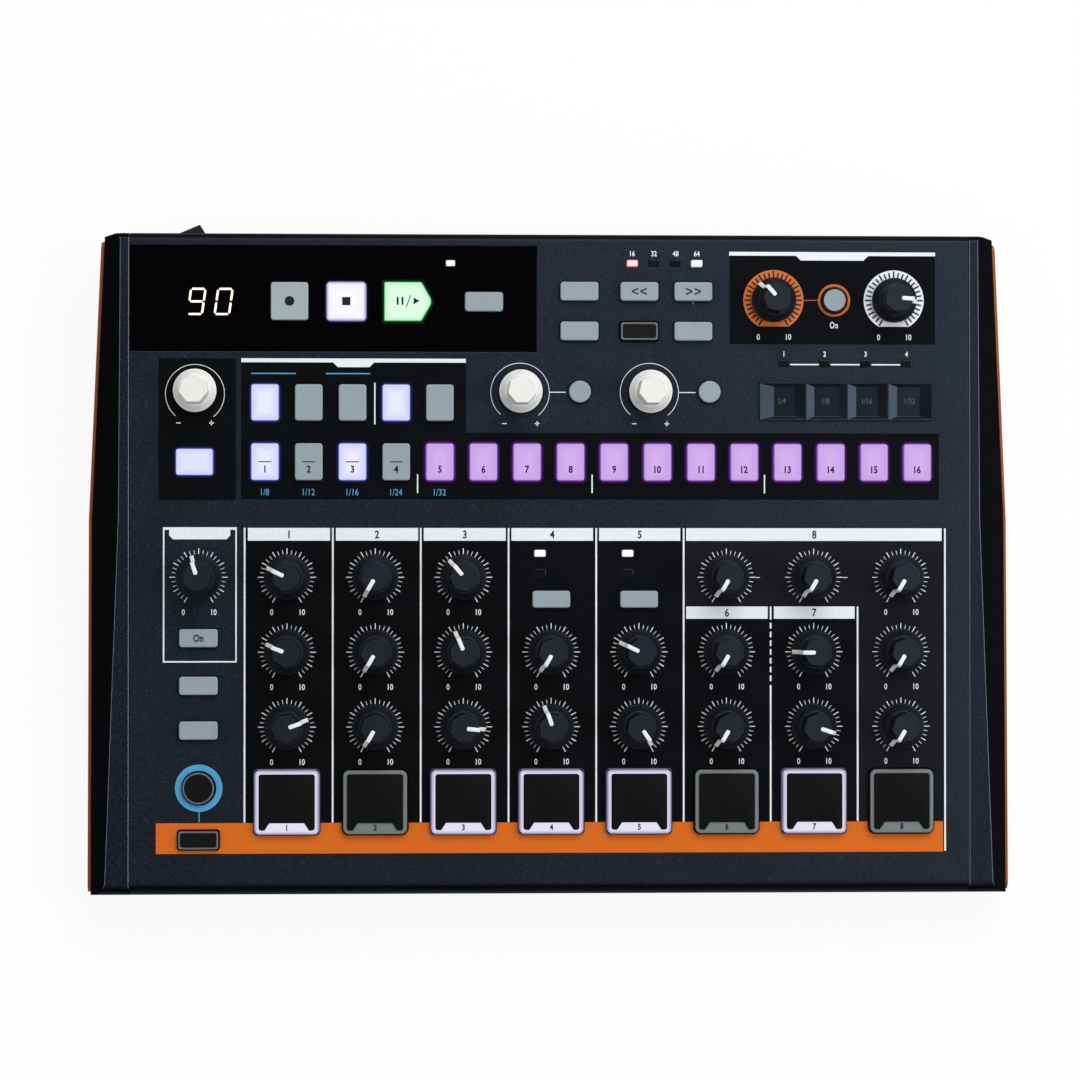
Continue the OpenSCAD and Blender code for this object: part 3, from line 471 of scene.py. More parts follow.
lights = {  # name: place, size and power of a soft box that looks at the middle of the machine
    "rearSoftbox": ((0.35, 0.95, 1.15), (1.3, 0.7), 15.0),
    "rightSoftbox": ((1.05, -0.1, 0.95), (0.5, 1.2), 7.5),
    "leftFill": ((-1.1, -0.5, 0.9), (0.8, 0.8), 3.0),
}
for name, (place, size, power) in lights.items():
    bpy.ops.object.light_add(type="AREA", location=place)
    lamp = bpy.context.active_object
    lamp.name = name
    lamp.data.shape = "RECTANGLE"
    lamp.data.size, lamp.data.size_y = size
    lamp.data.energy = power
    lamp.rotation_mode = "QUATERNION"
    lamp.rotation_quaternion = Vector(place).to_track_quat("Z", "Y")

sky = {"ambient": 0.34, "sides": 0.2, "overhead": 0.04, "turnsDark": (0.4, 0.7), "shown": 1.0}
world = bpy.data.worlds.new("studio")
bpy.context.scene.world = world
world.use_nodes = True
parts = addNode(world, "ShaderNodeSeparateXYZ")
feed(world, parts.inputs[0], addNode(world, "ShaderNodeTexCoord").outputs["Generated"])
reflected = rangeOf(world, parts.outputs[2], *sky["turnsDark"], sky["sides"], sky["overhead"])
rays = addNode(world, "ShaderNodeLightPath").outputs
seen = valueStep(world, "MAXIMUM", rays["Is Glossy Ray"], rays["Is Transmission Ray"])
plain = mixValues(world, seen, sky["ambient"], reflected)  # gloss sees it dim round the sides, dark overhead
background = world.node_tree.nodes["Background"].inputs
feed(world, background["Strength"], mixValues(world, rays["Is Camera Ray"], plain, sky["shown"]))
feed(world, background["Color"], (1, 1, 1, 1))

floorLook = {"size": 8.0, "color": "#f4f4f4", "rough": 0.8, "shown": 0.9}
pickNothing()
bpy.ops.mesh.primitive_plane_add(size=floorLook["size"], location=(0, 0, 0))
floor = bpy.context.active_object
floor.name = "floor"
paper, sockets = newMaterial("paper")
feed(paper, sockets["Base Color"], hexColor(floorLook["color"]))
feed(paper, sockets["Roughness"], floorLook["rough"])
feed(paper, sockets["Specular IOR Level"], 0.0)
rays = addNode(paper, "ShaderNodeLightPath").outputs
blend = addNode(paper, "ShaderNodeMixShader")
feed(paper, blend.inputs[0], valueStep(paper, "MULTIPLY", rays["Is Camera Ray"], floorLook["shown"]))
feed(paper, blend.inputs[1], paper.node_tree.nodes["Principled BSDF"].outputs[0])
feed(paper, blend.inputs[2], addNode(paper, "ShaderNodeEmission", Strength=1.0).outputs[0])
feed(paper, paper.node_tree.nodes["Material Output"].inputs["Surface"], blend.outputs[0])
floor.data.materials.append(paper)
print("camera, lights and floor set")

# case

case = {
    "paint": {"color": "#0e1116", "shade": "#181b22", "grain": 0.5, "clouds": 30, "speck": "#2b333f",
              "speckSize": 0.5, "rough": (0.4, 0.48), "bump": 0.4, "edge": "#4a515d",
              "edgeWidth": 0.35, "wear": 0.4, "tint": "#c7ddff", "zoneSpecular": 0.08,
              # turned: painted shade that darkens the front roll and the rear bend
              "turned": "#090a0d", "turnedFrom": (0.9985, 0.94), "turnedSpecular": 0.06},
    # cheek: its steep bevel is painted near-black as shade (turned), and the bright line along the bevel's
    # top edge is a painted highlight (edge)
    "cheek": {"color": "#10131a", "shade": "#1a1e26", "grain": 0.5, "clouds": 30, "speck": "#2b333f",
              "speckSize": 0.5, "rough": (0.4, 0.48), "bump": 0.35, "edge": "#8a909a",
              "edgeWidth": 0.45, "wear": 1.0, "wearFrom": (0.998, 0.98), "specular": 0.28, "tint": "#c7ddff",
              "turned": "#040405", "turnedFrom": (0.985, 0.85), "turnedSpecular": 0.03},
    # insert: its orange is darkened as painted shade, for sides seen at a grazing angle
    "insert": {"color": "#9c5428", "shade": "#a85c2c", "grain": 0.6, "rough": (0.45, 0.55), "bump": 0.25,
               "edge": "#c07a44", "edgeWidth": 0.3, "specular": 0.25},
    "tray": {"color": "#131417", "shade": "#1d1f23", "grain": 0.7, "rough": (0.5, 0.62), "bump": 0.4,
             "relief": 0.05, "edge": "#3a3d43", "edgeWidth": 0.4},
    "foot": {"color": "#0e0e0f", "shade": "#181819", "grain": 0.8, "rough": (0.7, 0.85), "bump": 0.4,
             "relief": 0.06, "edge": "#2a2a2b", "edgeWidth": 0.4},
    "screw": {"color": "#33363b", "shade": "#4a4e55", "grain": 0.4, "rough": (0.3, 0.42), "metal": 0.9,
              "bump": 0.15, "edge": "#8a9098", "edgeWidth": 0.2},
    "black": "#0d0d0e",
    "fmGrey": "#1a1b1e",
    "orange": "#d66a20",
}
case["paint"]["zones"] = [  # left, front, right, rear, colour
    (-133.66, 134.08, -107.38, 182.36, case["black"]),
    (-105.62, 134.4, 133.13, 157.2, case["black"]),
    (-105.62, 157.0, -29.14, 182.4, case["black"]),
    (61.1, 187.7, 131.88, 219.3, case["black"]),
    (-104.4, 20.0, 135.2, 124.6, case["black"]),
    (45.7, 98.0, 135.2, 120.4, case["fmGrey"]),
    (105.2, 20.0, 135.2, 98.5, case["fmGrey"]),
    (-134.4, 13.9, 134.45, 24.3, case["orange"]),
]
nodeFinish(surface("panelPaint", case["paint"]), "top_panel")
nodeFinish(surface("cheekPlastic", case["cheek"]), "left_cheek", "right_cheek")
nodeFinish(surface("orangePlastic", case["insert"]), "side_inserts")
nodeFinish(surface("trayPlastic", case["tray"]), "base_tray")
nodeFinish(surface("footRubber", case["foot"]), "rubber_feet")
nodeFinish(surface("blackScrew", case["screw"]), "case_screws")

inside = {
    "board": {"color": "#17482f", "shade": "#1f5a3c", "grain": 1.2, "rough": (0.3, 0.4), "bump": 0.1,
              "coat": 0.3},
    "steel": {"color": "#8a8d92", "shade": "#a4a7ab", "grain": 0.4, "rough": (0.28, 0.4), "metal": 0.9,
              "edge": "#d0d2d5", "edgeWidth": 0.2},
    "switch": {"color": "#1c1e22", "shade": "#26282d", "grain": 0.6},
    "socket": {"color": "#121315", "shade": "#1b1c1f", "grain": 0.5, "rough": (0.38, 0.5), "bump": 0.2,
               "edge": "#45484d", "edgeWidth": 0.25},
    "rocker": {"color": "#111214", "shade": "#191a1d", "grain": 0.5, "rough": (0.3, 0.4), "bump": 0.15,
               "edge": "#3e4146", "edgeWidth": 0.4},
}
nodeFinish(surface("solderMask", inside["board"]), "control_board", "main_board")
nodeFinish(surface("pressedSteel", inside["steel"]), "potentiometers")
nodeFinish(surface("switchPlastic", inside["switch"]), "key_switches")
nodeFinish(surface("socketPlastic", inside["socket"]), "rear_sockets")
nodeFinish(surface("rockerPlastic", inside["rocker"]), "power_rocker")

display = {
    "window": {"color": "#020203", "shade": "#030305", "grain": 2.0, "rough": (0.06, 0.1), "bump": 0.02,
               "edge": "#15171b", "edgeWidth": 0.2, "specular": 0.25},
    "module": {"color": "#141416", "shade": "#1b1b1e", "grain": 0.8, "rough": (0.4, 0.5)},
    # strip: its lighter edges are a painted highlight along the rims
    "strip": {"color": "#080a0e", "shade": "#0e1116", "grain": 0.45, "rough": (0.3, 0.38), "bump": 0.3,
              "relief": 0.02, "edge": "#5a616c", "edgeWidth": 0.2, "specular": 0.65, "tint": "#c7ddff"},
}
nodeFinish(surface("glossBlack", display["window"]), "display_window")
nodeFinish(surface("displayModule", display["module"]), "digit_display")
nodeFinish(surface("stripPlastic", display["strip"]), "touch_strip")
print("case finishes done")

# printing on the panel

ink = {
    "white": {"color": "#dfe4e6", "shade": "#eef1f2", "bump": 0.15, "relief": 0.01, "specular": 0.3},
    "black": {"color": "#131418", "shade": "#1b1c21", "bump": 0.1, "specular": 0.3},
    "blue": {"color": "#469ac6", "shade": "#55a6d0", "bump": 0.1, "specular": 0.3},
    "orange": {"color": "#cc6420", "shade": "#da7430", "bump": 0.1, "specular": 0.3},
    # faint: the light grey of the numbers engraved in the touch strip is a painted highlight where their
    # edges catch the light
    "faint": {"color": "#4e5460", "shade": "#5a606c", "rough": (0.4, 0.5), "bump": 0.1},
}
inkWhite, inkBlack, inkBlue, inkOrange, engravedHighlight = (
    surface("ink" + key.title(), look) for key, look in ink.items())


def bar(left, front, right, rear):  # a printed bar, as thick as ink
    return addBlock((left, front, printLow), (right, rear, printTop))


def tab(left, right, front, rear, cut):  # a label tab whose lower corners are cut off
    piece = bar(left, front, right, rear)
    bevelEdges(piece, lambda a, b: upright(a, b) and a.y < front + 0.01, cut)
    return piece


def band(u, v, radius, width):  # a printed ring
    return hollow(addRod(u, v, radius + width / 2, printLow, printTop, 96), width)


def arc(u, v, radius, width, start, sweep):  # a printed part of a ring, both angles in degrees
    pickNothing()
    bpy.ops.mesh.primitive_plane_add(size=1, location=(0, 0, 0))
    piece = bpy.context.active_object
    piece.scale = (width * mm, (printTop - printLow) * mm, 1)
    piece.rotation_euler = (math.pi / 2, 0, 0)
    piece.location = (radius * mm, 0, (printTop + printLow) / 2 * mm)
    applyPlace()
    bpy.ops.object.mode_set(mode="EDIT")
    bpy.ops.mesh.select_all(action="SELECT")
    bpy.ops.mesh.spin(steps=64, angle=math.radians(sweep), center=(0, 0, 0), axis=(0, 0, 1), dupli=False)
    bpy.ops.mesh.select_all(action="SELECT")
    bpy.ops.mesh.normals_make_consistent(inside=False)
    endEdit()
    return moved(piece, u, v, -start)


lettering = {"capShare": 0.72, "curve": 3, "thick": 0.02, "narrow": 0.82}  # capShare: capitals to font size


def word(text, height, u, v, w=printTop, narrow=lettering["narrow"], bold=0.0, spread=1.0):
    pickNothing()
    bpy.ops.object.text_add(location=(0, 0, 0))
    piece = bpy.context.active_object
    piece.data.body = text
    piece.data.size = height / lettering["capShare"] * mm
    piece.data.align_x, piece.data.align_y = "CENTER", "CENTER"
    piece.data.resolution_u = lettering["curve"]
    piece.data.extrude = lettering["thick"] * mm
    piece.data.offset = bold * mm
    piece.data.space_character = spread
    bpy.ops.object.convert(target="MESH")
    piece = bpy.context.active_object
    bpy.ops.object.mode_set(mode="EDIT")
    bpy.ops.mesh.select_all(action="SELECT")
    bpy.ops.mesh.remove_doubles(threshold=0.000002)
    endEdit()
    middle = sum((Vector(c) for c in piece.bound_box), Vector()) / 8
    piece.scale = (narrow, 1, 1)
    piece.location = (u * mm - middle.x * narrow, v * mm - middle.y, w * mm)
    applyPlace()
    return piece


fields = {  # white lines and headers round the columns of knobs
    "line": 0.6, "columns": 6, "first": -104.4, "pitch": 29.95, "front": 24.4, "rear": 124.7, "lowRear": 97.9,
    "dashed": 75.2, "dashedTo": 71.0, "dashes": 7, "dashFirst": 72.4, "dashPitch": 3.0, "dash": 1.9,
    "dashedFrom": 93.4, "last": 105.1, "outer": 135.2, "outerFront": 14.2,
    "headers": ((-103.3, -75.4), (-73.4, -45.4), (-43.5, -15.5), (-13.6, 14.3), (16.4, 44.2), (46.2, 134.1)),
    "headerFront": 120.35, "lowHeaders": ((46.2, 74.2), (76.3, 104.1)), "lowHeaderFront": 93.7,
}


def upLine(u, front, rear):
    return bar(u - fields["line"] / 2, front, u + fields["line"] / 2, rear)


lines = [upLine(fields["first"] + k * fields["pitch"], fields["front"], fields["rear"])
         for k in range(fields["columns"])]
lines.append(upLine(fields["dashed"], fields["front"], fields["dashedTo"]))
for k in range(fields["dashes"]):
    v = fields["dashFirst"] + k * fields["dashPitch"]
    lines.append(upLine(fields["dashed"], v, v + fields["dash"]))
lines.append(upLine(fields["dashed"], fields["dashedFrom"], fields["lowRear"]))
lines.append(upLine(fields["last"], fields["front"], fields["lowRear"]))
lines.append(upLine(fields["outer"], fields["outerFront"], fields["rear"]))
for key, front, rear in (("headers", "headerFront", "rear"), ("lowHeaders", "lowHeaderFront", "lowRear")):
    lines += [bar(left, fields[front], right, fields[rear]) for left, right in fields[key]]

beatBox = {"left": -132.1, "front": 78.9, "right": -107.05, "rear": 124.9, "line": 0.5, "head": 124.0}
left, front, right, rear, line, head = beatBox.values()
lines += [bar(left, front, right, front + line), bar(left, front + line, left + line, rear),
          bar(right - line, front + line, right, rear), bar(left + line, head, right - line, rear)]

titles = {  # title bars with their tabs, the divider of the modes, beat marks, lines between lamps
    "tabs": ((-130.0, -109.3, 120.8, 124.0, 1.3), (-74.3, -60.5, 179.5, 181.1, 1.5),
             (84.1, 108.7, 216.45, 218.05, 1.5)),
    "bars": ((-105.6, 181.1, -29.15, 182.45), (61.0, 218.05, 131.9, 219.35), (-60.4, 160.0, -59.95, 174.2),
             (-0.5, 170.95, 5.0, 171.25), (43.9, 170.95, 49.5, 171.25)),
    "beats": (-45.6, 14.0, 73.1), "beatHalf": 0.22, "beatFront": 136.6, "beatRear": 143.0,
    "lampLines": ((81.9, 91.9), (95.9, 106.0), (110.0, 119.9)), "lampFront": 180.55, "lampRear": 181.0,
    "dashes": (70.0, 100.1), "dash": 1.5, "dashFront": 107.7, "dashRear": 107.95,
}
lines += [tab(*place) for place in titles["tabs"]]
lines += [bar(*place) for place in titles["bars"]]
lines += [bar(u - titles["beatHalf"], titles["beatFront"], u + titles["beatHalf"], titles["beatRear"])
          for u in titles["beats"]]
lines += [bar(left, titles["lampFront"], right, titles["lampRear"]) for left, right in titles["lampLines"]]
lines += [bar(u, titles["dashFront"], u + titles["dash"], titles["dashRear"]) for u in titles["dashes"]]

colored = {  # the orange ring with its line, the blue ring with its line, and the blue lines over the modes
    "orangeLine": (86.4, 202.7, 91.6, 202.9), "orangeRing": (97.1, 202.8, 5.14, 0.84),
    "blueLines": ((-102.2, 177.1, -87.0, 177.5), (-76.9, 177.1, -61.7, 177.5), (48.5, 201.3, 48.8, 202.2),
                  (-119.95, 24.6, -119.6, 28.3)),
    "blueRing": (-119.9, 36.2, 7.0, 2.1),
}
bluePieces = [bar(*place) for place in colored["blueLines"]] + [band(*colored["blueRing"])]
print("lines and headers printed")

# one ring of marks, every third one long, then a copy under each knob
dial = {"marks": 31, "step": 10.0, "inner": 7.9, "short": 9.3, "long": 9.85, "thin": 0.19, "thick": 0.3}
discs = {  # the two dials on a coloured disc with a flat below
    "radius": 10.35, "flatAt": -9.05, "inner": 7.8, "short": 9.6, "long": 10.0, "thin": 0.55, "thick": 0.55,
    "proud": 0.03, "sunk": 0.01,
}


def markRing(size, low, high):
    marks = []
    for k in range(dial["marks"]):
        angle = (k - dial["marks"] // 2) * dial["step"]
        outer, width = (size["short"], size["thin"]) if k % 3 else (size["long"], size["thick"])
        marks.append(moved(addBlock((-width / 2, size["inner"], low), (width / 2, outer, high)), 0, 0, angle))
    return joined(marks)


turns = {}
for joint in frame["joints"]:
    if joint["name"].endswith("_turn"):
        u, v, w = panelBack @ Vector(joint["pos_m"]) / mm
        reach = joint.get("range_deg")
        turns[joint["child"]] = (u, v, sum(reach) / 2 if reach else 0.0)
knobs = {name: place for name, place in turns.items() if name.endswith("_knob")}
encoders = {name: place for name, place in turns.items() if name.endswith("_encoder")}
onDisc = {"distortion_knob": (inkOrange, "print_orange"), "master_volume_knob": (inkWhite, "print_white")}

ring = markRing(dial, printLow, printTop)
rings = [moved(copyOf(ring), u, v) for name, (u, v, angle) in knobs.items() if name not in onDisc]
throwAway(ring)
dress(settle(joined(lines + rings)), "white_print", "case", inkWhite, "print_white")
for name, (material, slotName) in onDisc.items():
    u, v, angle = knobs[name]
    disc = addRod(0, 0, discs["radius"], printLow, printTop, 96)
    pickFaces(disc, lambda centre, normal: True)
    bpy.ops.mesh.bisect(plane_co=(0, discs["flatAt"] * mm, 0), plane_no=(0, -1, 0), clear_outer=True,
                        use_fill=True)
    endEdit()
    dress(settle(disc, u, v), name.replace("_knob", "_disc"), "case", material, slotName)
    marks = settle(markRing(discs, printTop - discs["sunk"], printTop + discs["proud"]), u, v)
    dress(marks, name.replace("_knob", "_marks"), "case", inkBlack, "print_black")

orangePieces = [bar(*colored["orangeLine"]), band(*colored["orangeRing"])]
dress(settle(joined(orangePieces)), "distortion_ring", "case", inkOrange, "print_orange")

sweeps = {  # the printed arc round each encoder, open at the bottom, and how far it lies off the shaft
    "radius": 10.0, "width": 0.2, "start": 229.0, "angle": 280.0,
    "rate_encoder": (0.0, -1.1), "swing_encoder": (-0.25, -0.4), "random_encoder": (-0.4, -0.35),
}
arcs = []
for name, (u, v, angle) in encoders.items():
    across, along = sweeps[name]
    arcs.append(arc(u + across, v + along, *(sweeps[key] for key in ("radius", "width", "start", "angle"))))
dress(settle(joined(arcs)), "encoder_arcs", "case", inkWhite, "print_white")
print("dials printed")

# plain numbers, and minus and plus signs under the encoders
figures = {
    "dial": 2.0, "dialBold": 0.03, "across": 5.2, "below": 11.9, "belowDisc": 12.6,
    "signs": ((-6.4, -11.2, -4.8, -10.85), (4.8, -11.2, 6.4, -10.85), (5.42, -11.82, 5.78, -10.22)),
    "lamp": 1.8, "lampBold": 0.04, "countRow": 218.6, "stripRow": 184.4, "on": (97.0, 194.3),
    "counts": (("16", 27.8), ("32", 35.2), ("48", 42.6), ("64", 49.9)),
    "strip": (("1", 79.8), ("2", 93.8), ("3", 107.9), ("4", 122.0)),
    "step": 2.3, "stepRow": 136.9, "steps": ("1/8", "1/12", "1/16", "1/24", "1/32"),
    "head": 2.7, "headBold": 0.09, "headProud": 0.015, "headRow": 122.5,
    "heads": ((60.2, 95.8), (90.2, 95.8), (90.2, 122.5)),
}
numbers = []
for name, (u, v, angle) in knobs.items():
    below = figures["belowDisc" if name in onDisc else "below"]
    for text, across in (("0", -figures["across"]), ("10", figures["across"])):
        numbers.append(word(text, figures["dial"], u + across, v - below, bold=figures["dialBold"]))
for name, (u, v, angle) in encoders.items():
    for left, front, right, rear in figures["signs"]:
        numbers.append(bar(u + left, v + front, u + right, v + rear))
for row, texts in (("countRow", "counts"), ("stripRow", "strip")):
    for text, u in figures[texts]:
        numbers.append(word(text, figures["lamp"], u, figures[row], bold=figures["lampBold"]))
numbers.append(word("On", 2.3, *figures["on"], narrow=0.64, bold=0.04, spread=1.18))
dress(settle(joined(numbers)), "white_numbers", "case", inkWhite, "print_white")

stepPlaces = [middleOf(box)[0] for box in solidBoxes("step_buttons")]
for text, u in zip(figures["steps"], stepPlaces):
    bluePieces.append(word(text, figures["step"], u, figures["stepRow"]))
dress(settle(joined(bluePieces)), "blue_print", "case", inkBlue, "print_blue")

headPlaces = [((a + b) / 2, figures["headRow"]) for a, b in fields["headers"][:5]] + list(figures["heads"])
headTop = printTop + figures["headProud"]
headNumbers = [word(str(k + 1), figures["head"], u, v, headTop, bold=figures["headBold"])
               for k, (u, v) in enumerate(headPlaces)]
dress(settle(joined(headNumbers)), "header_numbers", "case", inkBlack, "print_black")
print("numbers printed")

# keys

greyKey = {
    "color": "#8d9aa0", "shade": "#98a5aa", "grain": 0.3, "clouds": 6, "rough": (0.42, 0.52), "bump": 0.15,
    "edge": "#b4bdc0", "edgeWidth": 0.3, "wear": 0.3, "specular": 0.3,
}
keyLook = {
    "low": -2.4, "corner": 1.0, "edge": 0.4, "dish": ((0.3, 0.01), (0.35, 0.02), (0.5, 0.03), (0.8, 0.02)),
    "wideDish": (1.1, 0.0), "wideFrom": 9.0, "roundDish": ((0.5, 0.02), (0.9, 0.04)),
    "stem": (1.6, 4.0, 20), "stemInto": 0.2, "glowReach": 3.5, "smallReach": 1.5,
    "darkBelow": 50, "darkAt": ((30.1, 192),), "outputAt": ((97.1, 202.8),), "litModes": (0, 1, 4),
    "grey": greyKey,
    "record": {**greyKey, "color": "#99a6a8", "shade": "#a4b1b3", "edge": "#bec7c8"},
    "white": {"middle": "#f1f0ff", "between": "#cdd1ff", "betweenAt": 0.92, "edge": "#5650b8",
              "strength": 0.86},
    "stop": {"middle": "#f9f8ff", "between": "#f3f0ff", "betweenAt": 0.75, "edge": "#aba2e2",
             "strength": 0.92},
    "violet": {"middle": "#dcb4f8", "between": "#cba3ec", "betweenAt": 0.92, "edge": "#6a2a98",
               "strength": 0.8, "body": "#4a3c55", "bodyShade": "#55455f"},
    "green": {"middle": "#e2fde8", "between": "#b0f7c0", "betweenAt": 0.8, "edge": "#38b85a",
              "strength": 0.88, "body": "#3c5540", "bodyShade": "#455f4a"},
    "dark": {"color": "#090a0b", "shade": "#101113", "grain": 0.3, "rough": (0.45, 0.55), "bump": 0.15,
             "specular": 0.2},
    "rimGrey": {"color": "#5d6368", "shade": "#6a7075", "grain": 0.3, "rough": (0.4, 0.5), "bump": 0.1},
}
greySilicone = surface("greySilicone", keyLook["grey"])
recordGrey = surface("recordGrey", keyLook["record"])
whiteGlow = litSurface("whiteGlow", keyLook["white"])
stopGlow = litSurface("stopGlow", keyLook["stop"])
violetGlow = litSurface("violetGlow", keyLook["violet"])
greenGlow = litSurface("greenGlow", keyLook["green"])
darkCap = surface("darkCap", keyLook["dark"])
greyRim = surface("greyRim", keyLook["rimGrey"])


def withStem(cap, radius, length, sides):
    low = keyLook["low"]
    return joined([cap, addRod(0, 0, radius, low - length, low + keyLook["stemInto"], sides)])


def modelCap(width, depth, top):  # one key cap round the origin
    edge = keyLook["edge"]
    cap = addBlock((-width / 2, -depth / 2, keyLook["low"]), (width / 2, depth / 2, top))
    bevelEdges(cap, upright, keyLook["corner"], 5)
    bevelEdges(cap, atHeight(top), edge, 3)
    wide = (keyLook["wideDish"],) if min(width, depth) > keyLook["wideFrom"] else ()
    dishTop(cap, top, width / 2 - edge, depth / 2 - edge, keyLook["dish"] + wide)
    cap = withStem(cap, *keyLook["stem"])
    markRim(cap, width / 2, depth / 2, keyLook["glowReach"], top)
    smooth(cap)
    return cap


def modelRoundCap(diameter, top):
    cap = addRod(0, 0, diameter / 2, keyLook["low"], top)
    bevelEdges(cap, atHeight(top), keyLook["edge"], 3)
    insetTop(cap, top, keyLook["roundDish"])
    cap = withStem(cap, *keyLook["stem"])
    markRim(cap, diameter / 2, diameter / 2, keyLook["smallReach"], top)
    smooth(cap)
    return cap


def placeCaps(node, names, lookOf, roundCaps=False):  # a cap over each solid of the node, from left to right
    models, made = {}, []
    for k, (low, high) in enumerate(solidBoxes(node)):
        width, depth = round(high.x - low.x, 1), round(high.y - low.y, 1)
        if (width, depth) not in models:
            cap = modelRoundCap(width, high.z) if roundCaps else modelCap(width, depth, high.z)
            models[width, depth] = cap
        u, v = middleOf((low, high))
        name = f"{names}_{k + 1}"
        dress(settle(copyOf(models[width, depth]), u, v), name, node, *lookOf(k, u, v), (node,))
        made.append((name, u, v, width, depth))
    throwAway(*models.values())
    return made


greyLook, whiteLook = (greySilicone, "key_grey"), (whiteGlow, "key_white")


def stepLook(k, u, v):  # the first four steps stand for one beat, the rest are lit violet
    return (whiteLook, greyLook, whiteLook, greyLook)[k] if k < 4 else (violetGlow, "key_violet")


def modeLook(k, u, v):  # the tap key comes first
    return whiteLook if k in keyLook["litModes"] else greyLook


def isDarkKey(u, v):
    return v < keyLook["darkBelow"] or isAt(u, v, keyLook["darkAt"])


def smallLook(k, u, v):
    return (darkCap, "key_grey") if isDarkKey(u, v) or isAt(u, v, keyLook["outputAt"]) else greyLook


steps = placeCaps("step_buttons", "step_key", stepLook)
modes = placeCaps("mode_buttons", "mode_key", modeLook)
functions = placeCaps("function_buttons", "function_key", smallLook)
rounds = placeCaps("round_buttons", "round_key", smallLook, roundCaps=True)
placeCaps("record_button", "record_key", lambda k, u, v: (recordGrey, "key_grey"))
stops = placeCaps("stop_button", "stop_key", lambda k, u, v: (stopGlow, "key_white"))

playKey = {"slant": 3.3, "tip": 0.8, "tipGrow": 0.27, "corner": 0.6}  # a blunt point on its right
playBox = solidBoxes("play_button")[0]
playPlace = middleOf(playBox)
halfWide, halfDeep, top = (playBox[1].x - playBox[0].x) / 2, (playBox[1].y - playBox[0].y) / 2, playBox[1].z
slant, tip = playKey["slant"], playKey["tip"]


def modelPlayPlate(grow, low, high):  # a plate with the key's outline: two cuts leave a blunt point
    plate = addBlock((-halfWide - grow, -halfDeep - grow, low), (halfWide + grow, halfDeep + grow, high))
    for side in (-1, 1):
        pickFaces(plate, lambda centre, normal: True)
        bpy.ops.mesh.bisect(
            plane_co=((halfWide + grow) * mm, side * (tip + grow * playKey["tipGrow"]) * mm, 0),
            plane_no=Vector((halfDeep - tip, side * slant, 0)).normalized(), clear_outer=True, use_fill=True)
        endEdit()
    bevelEdges(plate, upright, playKey["corner"], 3)
    return plate


play = modelPlayPlate(0, keyLook["low"], top)
bevelEdges(play, atHeight(top), keyLook["edge"], 3)
dishTop(play, top, halfWide - keyLook["edge"], halfDeep - keyLook["edge"], keyLook["dish"])
reach = keyLook["smallReach"]
markRim(play, halfWide, halfDeep, reach, top)
for point, value in zip(play.data.vertices, play.data.attributes["rim"].data):
    u, v, w = point.co / mm
    if w > top - rimDepth:
        inside = (halfWide - u) * (halfDeep - tip) - (abs(v) - tip) * slant
        inside /= math.hypot(halfDeep - tip, slant)
        value.value = max(value.value, min(1.0, 1 - inside / reach))
smooth(play)
dress(settle(play, *playPlace), "play_key", "play_button", greenGlow, "key_green", ("play_button",))

# light that leaks out round the lit caps: a bright collar in the gap and a dim frame on the paint
leaks = {
    "collar": 0.33, "frame": 0.55, "padShare": 0.45, "corner": 1.2, "strength": 0.8,
    "heights": {"collar": (-0.4, 0.01), "glow": (0.0, 0.02)},
    "violet": ("#5c2688", "#241032"), "white": ("#20306e", "#0f1130"), "stop": ("#6e6a86", "#0f0c20"),
    "green": ("#0a3e19", "#051a0b"), "pad": ("#5c5880", "#17161e"),
}


def leakSurface(name, color):
    return surface(name, {"color": color, "shade": color, "grain": 0.5, "specular": 0.05, "glow": color,
                          "glowStrength": leaks["strength"]})


def modelLeakPlate(width, depth, grow, low, high):
    plate = addBlock((-width / 2 - grow, -depth / 2 - grow, low), (width / 2 + grow, depth / 2 + grow, high))
    bevelEdges(plate, upright, leaks["corner"] + grow, 4)
    return plate


def placeLeaks(color, spots, slot, share=1.0):  # spots: u, v, width and depth of the lit caps
    collar, wide = leaks["collar"] * share, (leaks["collar"] + leaks["frame"]) * share
    for part, tone, grow, across in (("collar", 0, collar, collar), ("glow", 1, wide, wide - collar)):
        low, high = leaks["heights"][part]
        pieces = []
        for u, v, width, depth in spots:
            if color == "green":
                plate = modelPlayPlate(grow, low, high)
            else:
                plate = modelLeakPlate(width, depth, grow, low, high)
            pieces.append(settle(hollow(plate, across), u, v))
        material = leakSurface(color + part.title(), leaks[color][tone])
        dress(joined(pieces), f"{color}_{part}", "case", material, slot)


litSteps = [step[1:] for step in steps]
placeLeaks("violet", litSteps[4:], "key_violet")
placeLeaks("stop", [stops[0][1:]], "key_white")
placeLeaks("green", [playPlace + (0, 0)], "key_green")
placeLeaks("white", [litSteps[0], litSteps[2]] + [modes[k][1:] for k in keyLook["litModes"]], "key_white")

